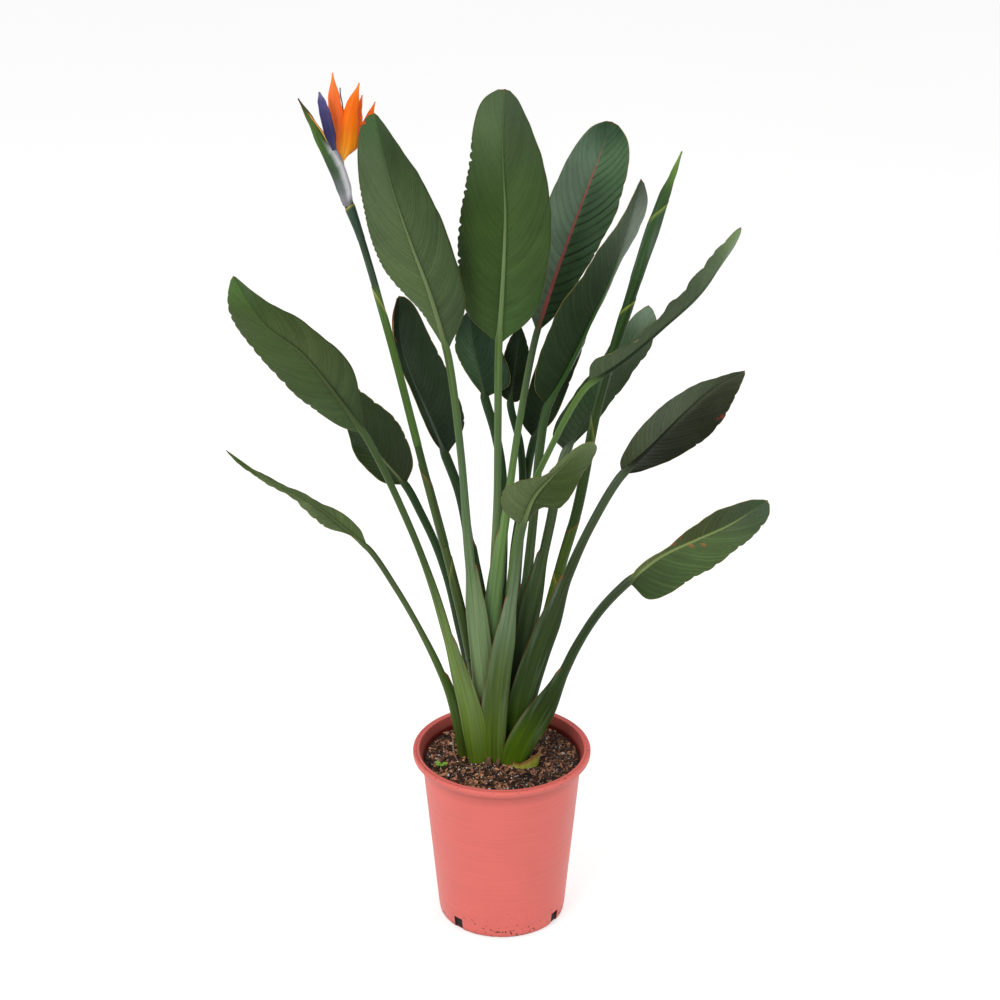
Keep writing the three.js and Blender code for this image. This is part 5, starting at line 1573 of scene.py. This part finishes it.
# %% The open flower's stalk and beak
STALK_TONES = ("#4c5e2c", "#4c5e2c", "#4a5c2e", "#4a5c30", "#42542a", "#2f461a", "#4c6830", "#4c7434",
               "#4c7434")
SPATHE_TONES = ("#747478", "#808084", "#646a68", "#3c5038", "#3c5a26", "#48602a", "#4a3a26")
LIP_TONES = ("#c87a3a", "#c88a44", "#d0a04c", "#b89a5c")
# The white of the spathe's upper side: partly waxy bloom, partly a painted highlight.
WHITE_BLOOM_AND_HIGHLIGHT = "#d4d2d8"
BLOOM_BRACTS = (             # name, from and to on the stalk, turn in degrees, tone, tone of the rim
    ("bract_low", 0.22, 0.42, 0, "#48592c", "#6f7a3c"),
    ("bract_middle", 0.44, 0.58, 180, "#405228", "#6b5530"),
    ("bract_high", 0.6, 0.785, 200, "#456227", "#9a9c4c"),
    ("bract_top", 0.86, 0.995, -60, "#34483a", "#a9a04c"),
)


def bloom_tone(share):
    """The stalk's own greens, and darker where the highest bract has ended."""
    dark = smooth((share - 0.775) / 0.01)[:, None]
    return mix(gradient(STALK_TONES, share), linear("#2c3e2a"), dark)


def bloom_and_painted_highlight_on_top(spathe):
    """Whitens the upper side of the spathe: partly its waxy bloom, partly a painted highlight."""
    tones = spathe.data.attributes["stalk_tone"].data
    middle = curve_through(SPATHE)
    walk = middle(np.linspace(0, 1, 80))
    for vertex, tone in zip(spathe.data.vertices, tones):
        spot = np.array(vertex.co) / MM
        near = int(np.argmin(((walk - spot) ** 2).sum(1)))
        share = near / (len(walk) - 1)
        side = (spot - walk[near])[0] / read_off(SPATHE_HALF_HEIGHT, np.array([share]))[0]
        band = smooth((share - 0.1) / 0.15) * smooth((0.7 - share) / 0.12)
        white = float(smooth((side - 0.1) / 0.6) * band)
        tone.color = mix(np.array(tone.color), linear(WHITE_BLOOM_AND_HIGHLIGHT), white)


bloom_pieces = [
    flower_stalk("bloom_stalk", BLOOM_STEM, BLOOM_STEM_RADII, BLOOM_STEM_RADII, bloom_tone),
    flower_stalk("spathe", SPATHE, SPATHE_HALF_HEIGHT, SPATHE_HALF_WIDTH, toned(*SPATHE_TONES), rows=70),
    flower_stalk("spathe_lip", SPATHE_LIP, (0.6, 1, 1.8, 0.8), (0.6, 1, 1.6, 0.8), toned(*LIP_TONES),
                 sides=8, rows=24),
]
bloom_and_painted_highlight_on_top(bloom_pieces[1])
for piece in bloom_pieces:
    piece.data.materials.append(flower_skin)
bloom_pieces += [bract(name, BLOOM_STEM, BLOOM_STEM_RADII, *cuff) for name, *cuff in BLOOM_BRACTS]
whole = joined("flower_stalk_open", bloom_pieces)
stands_for(whole, "scape", "bloom_scape")
print("faces of the open flower's stalk:", len(whole.data.polygons))

# %% The bud's stalk
BUD_TONES = ("#4a6420", "#4d661d", "#36491a", "#293e1f", "#2b4520", "#35502a", "#6a8a3a")
BUD_BRACTS = (               # the same, and how far the last one stands off
    ("bud_bract_low", 0.12, 0.24, 180, "#4c661e", "#8a7a34"),
    ("bud_bract_middle", 0.24, 0.325, 20, "#42571c", "#6f5228"),
    ("bud_bract_high", 0.3, 0.415, 180, "#30461d", "#6f7a38"),
    ("bud_bract_top", 0.47, 0.6, 0, "#2c451f", "#8a9a3c"),
    ("bud_bract_beak", 0.64, 0.83, 0, "#314b28", "#88983c", 0.4),
)

bud_pieces = [flower_stalk("bud_stalk", BUD_STEM, BUD_STEM_RADII, BUD_STEM_RADII, toned(*BUD_TONES),
                           rows=150)]
bud_pieces[0].data.materials.append(flower_skin)
bud_pieces += [bract(name, BUD_STEM, BUD_STEM_RADII, *cuff) for name, *cuff in BUD_BRACTS]
stands_for(joined("flower_stalk_bud", bud_pieces), "scape", "bud_scape")
print("bracts on both stalks:", len(BLOOM_BRACTS) + len(BUD_BRACTS))

# %% [markdown]
# ## Sepals and petals
#
# Two florets stand up from the beak. Their orange sepals are thin and pointed, and yellow at the root.
# A blue petal, folded like an arrowhead, stands before them, and the thin style shows behind. A sepal
# could be a bent plane, but then its outline would need cutting by hand. They are grids as the blades
# are, and hollowed along the middle, which gives each one its crease of light. Painted shade darkens
# the colour along that crease as well.

# %% The finish of sepals and petals
FLESH_LINES = (1.11, 1.11, 45)   # across, through and along


def flower_flesh(name, roughness, streak_amount):
    """Thin flower tissue: silky, a little see-through, with fine lines along it."""
    material, tree, shader = finish_named(name)
    tone = add(tree, "ShaderNodeAttribute", attribute_name="flower_tone")
    lie = add(tree, "ShaderNodeAttribute", attribute_name="lie")
    along = add(tree, "ShaderNodeMapping",
                {"Vector": lie.outputs["Vector"], "Scale": scales_for(FLESH_LINES)})
    streak = add(tree, "ShaderNodeTexNoise", {"Vector": along.outputs[0], "Scale": 1.0, "Detail": 3.0})
    light = add(tree, "ShaderNodeMapRange",
                {0: streak.outputs["Fac"], 1: 0.3, 2: 0.7, 3: 1 - streak_amount, 4: 1 + streak_amount})
    shade = add(tree, "ShaderNodeHueSaturation", {"Value": light.outputs[0], "Color": tone.outputs["Color"]})
    tree.links.new(shade.outputs[0], shader.inputs["Base Color"])
    bump = add(tree, "ShaderNodeBump",
               {"Height": streak.outputs["Fac"], "Strength": 0.4, "Distance": 0.3 * MM})
    tree.links.new(bump.outputs[0], shader.inputs["Normal"])
    shader.inputs["Roughness"].default_value = roughness
    shader.inputs["Specular IOR Level"].default_value = 0.2
    return material


# A sepal is silky and shows few lines; the petal is velvety, darker, and more deeply lined.
sepal_flesh = flower_flesh("sepal_silky", roughness=0.45, streak_amount=0.14)
petal_flesh = flower_flesh("petal_velvet", roughness=0.38, streak_amount=0.2)
print("lines on the flower about", FLESH_LINES[0], "mm apart")

# %% The forms of sepals, petals and their necks
PETAL_THICK = 0.9
PETAL_WALK = 90              # about the length of a sepal


def flower_blade(name, path, half, hollow, stops, finish):
    """A pointed, hollowed blade along a path, with its half widths at even steps."""
    curve = curve_through(path)

    def carry(v, u):
        side = 2 * v - 1
        u = u * 0.995
        across = beside(heading(curve, u))[0]
        width = read_off(half, u)
        places = curve(u) + across * (side * width)[:, None]
        places[:, 1] += hollow * width * side ** 2
        tone = gradient(stops, u)
        # Painted shade darkens the colour along the middle crease.
        tone = tone * (1 - 0.16 * np.exp(-(side / 0.12) ** 2))[:, None]
        tone[:, 3] = 1
        return places, {"flower_tone": tone, "lie": np.c_[side * width, 0 * u, u * PETAL_WALK] * MM}

    piece = skin(name, 14, 40, carry)
    weld(piece, turn_outwards=False)
    piece.data.materials.append(finish)
    thicken(piece, PETAL_THICK)
    return piece


def neck(name, points, radius, stops, finish):
    """A thin round part of the flower."""
    piece = flower_stalk(name, points, (radius, radius), (radius, radius), toned(*stops), sides=12, rows=12)
    note(piece, "flower_tone", gradient(stops, np.zeros(len(piece.data.vertices))))
    piece.data.materials.append(finish)
    return piece


print("sepals and petals are", PETAL_THICK, "mm thick")

# %% The open florets
ORANGE = ("#ffb040", "#ff9410", "#ff7c08", "#ff7206", "#fa8420")
SALMON = ("#ffa050", "#ff7a2a", "#ff6e28", "#ff7430", "#f8843a")
VIOLET = ("#343858", "#282552", "#3a3664", "#4c467a", "#6c6690")

sepal_pieces = [neck("floret_neck", FLORET_NECK, 1.3, ("#b07a50", "#e8d0b0"), sepal_flesh)]
for k, sepal in enumerate(SEPALS):
    hues = SALMON if k in (0, 2) else ORANGE
    sepal_pieces.append(flower_blade(f"sepal_{k}", sepal["path"], sepal["half"], 0.45, hues, sepal_flesh))
stands_for(joined("orange_sepals", sepal_pieces), "sepal", "bloom_sepals")

petal_pieces = [neck("petal_neck", PETAL_NECK, 1.5, ("#8a90a0", "#3c4258"), petal_flesh),
                neck("style", STYLE, 0.7, ("#2c3a68", "#7a4a3a"), petal_flesh),
                flower_blade("petal", PETAL["path"], PETAL["half"], -0.35, VIOLET, petal_flesh)]
stands_for(joined("blue_petals", petal_pieces), "petal", "bloom_petal")
print("sepals:", len(SEPALS))

# %% [markdown]
# ## Small things at the foot
#
# A sheath was cut off short on the right, and its rim has dried brown. A dry strip of old leaf hangs
# over the soil on the left, where a seedling has come up too, and papery scraps of old bracts stand
# between the sheaths. Each is a skin like the others, because a bent plane would show no thickness.

# %% The cut sheath
STUB_CENTRE = (31, -12)
STUB_RADIUS = (18, 17)
STUB_ANGLES = (-150, 5)
STUB_HEIGHT = (7, 24)        # above the soil, at its two ends
STUB_THICK = 1.8


def stub_carry(v, u):
    """Part of a ring that flares towards its rim."""
    angle = np.radians(mix(STUB_ANGLES[0], STUB_ANGLES[1], v))
    top = SOIL_LEVEL + mix(STUB_HEIGHT[0], STUB_HEIGHT[1], smooth(v)) + 1.2 * np.sin(19 * v) * np.sin(7 * v)
    height = mix(SOIL_LEVEL - 12, top, u)
    flare = 1 + smooth((u - 0.3) / 0.7) * (0.05 * np.sin(8 * v) + 0.16 * v)
    places = np.c_[STUB_CENTRE[0] + STUB_RADIUS[0] * flare * np.cos(angle),
                   STUB_CENTRE[1] + STUB_RADIUS[1] * flare * np.sin(angle), height]
    tone = gradient(("#7f9420", "#94aa2c", "#a8bc40", "#b4b250", "#8a5a34"), u)
    lie = np.c_[places[:, 0], places[:, 1], height] * MM
    return places, {"stalk_tone": tone, "lie": lie, **unsheathed(len(u))}


stub = skin("cut_off_sheath", 36, 16, stub_carry)
weld(stub, turn_outwards=False)
stub.data.materials.append(leaf_stalk)
thicken(stub, STUB_THICK)
stands_for(stub, "dry_sheath", "cut_sheath")
print("the stub rises to", STUB_HEIGHT[1], "mm above the soil")

# %% The dry strip
DRY_STRIP = [[-66, 14, 258], [-64.5, -3, 242], [-55, -19, 235.4], [-38, -27, 235.2], [-20, -29, 235]]

strip = flower_stalk("dry_leaf_strip", DRY_STRIP, (0.9, 1.1, 0.8, 1.0, 0.6), (0.5, 0.5, 0.4, 0.5, 0.4),
                     toned("#96805f", "#8a7250", "#745a40", "#94795a"), sides=10, rows=60)
strip.data.materials.append(leaf_stalk)
stands_for(strip, "dry_sheath", "dry_strip")
print("the strip hangs from", DRY_STRIP[0][2] - SOIL_LEVEL, "mm above the soil")

# %% The seedling
SEEDLING_FOOT = (-82, -28)
SEEDLING_LEAVES = ((20, 10), (140, 9), (215, 8), (290, 9))   # direction in degrees, and length
SEEDLING_GREENS = ("#6a9a30", "#86b83e", "#9cc850")
LEAFLET_THICK = 0.5


def leaflet(name, foot, direction, length, width_share, climb, stops):
    """A small pointed leaf that starts at a foot, in a direction in degrees."""
    turn = math.radians(direction)
    away = np.array([math.cos(turn), math.sin(turn), 0])
    aside = np.array([-math.sin(turn), math.cos(turn), 0])

    def carry(v, u):
        side = 2 * v - 1
        width = width_share * length * np.sin(np.pi * (0.06 + 0.9 * u)) * (1 + 0.12 * np.sin(22 * u))
        places = np.array(foot) + away * (u * length)[:, None] + aside * (side * width)[:, None]
        places[:, 2] += climb * u * length * (1 - 0.4 * u) + 0.8 * np.abs(side) * u
        lie = np.c_[side * width, 0 * u, u * length] * MM
        return places, {"stalk_tone": gradient(stops, u), "lie": lie, **unsheathed(len(u))}

    piece = skin(name, 8, 14, carry)
    weld(piece, turn_outwards=False)
    piece.data.materials.append(leaf_stalk)
    thicken(piece, LEAFLET_THICK)
    return piece


seedling_pieces = [leaflet(f"seedling_leaf_{k}", (*SEEDLING_FOOT, SOIL_LEVEL + 5 + 0.9 * k), direction,
                           length, 0.4, 0.3, SEEDLING_GREENS)
                   for k, (direction, length) in enumerate(SEEDLING_LEAVES)]
stem = flower_stalk("seedling_stem", [[*SEEDLING_FOOT, height] for height in (226, 234, 240)],
                    (0.9, 0.9), (0.9, 0.9), toned("#9ac060", "#8cb444"), sides=8, rows=8)
stem.data.materials.append(leaf_stalk)
stands_for(joined("seedling_weed", seedling_pieces + [stem]), "seedling", "seedling")
print("leaves on the seedling:", len(SEEDLING_LEAVES))

# %% Scraps of bract and a split strip
SCRAPS = (                   # foot, direction, length, width for the length, climb
    ((-21, -24, 231), 70, 17, 0.2, 1.3),
    ((-15, -25, 231), 110, 12, 0.24, 1.5),
    ((-6, -24, 231), 80, 11, 0.22, 1.6),
    ((-57, -2, 232), 95, 22, 0.1, 1.1),
    ((-48, -18, 233), 20, 15, 0.12, 0.3),
)
SCRAP_BROWNS = ("#4a3426", "#6f523c", "#8f7356")
SPLIT_STRIP = [[-135.5, 112, 852], [-141, 110, 826], [-140.2, 104, 804], [-136.2, 98, 796]]

scraps = [leaflet(f"scrap_{k}", *scrap, SCRAP_BROWNS) for k, scrap in enumerate(SCRAPS)]
stands_for(joined("dry_bract_scraps", scraps), "dry_sheath")

# The leaf at the back left has split at its tip, and the strip has dried red-brown.
split = flower_stalk("dry_split_strip", SPLIT_STRIP, (0.6, 1.3, 1.2, 0.6), (0.4, 0.6, 0.6, 0.4),
                     toned("#4a2a20", "#7e4234", "#6a3428"), sides=8, rows=30)
split.data.materials.append(leaf_stalk)
stands_for(split, "dry_sheath")
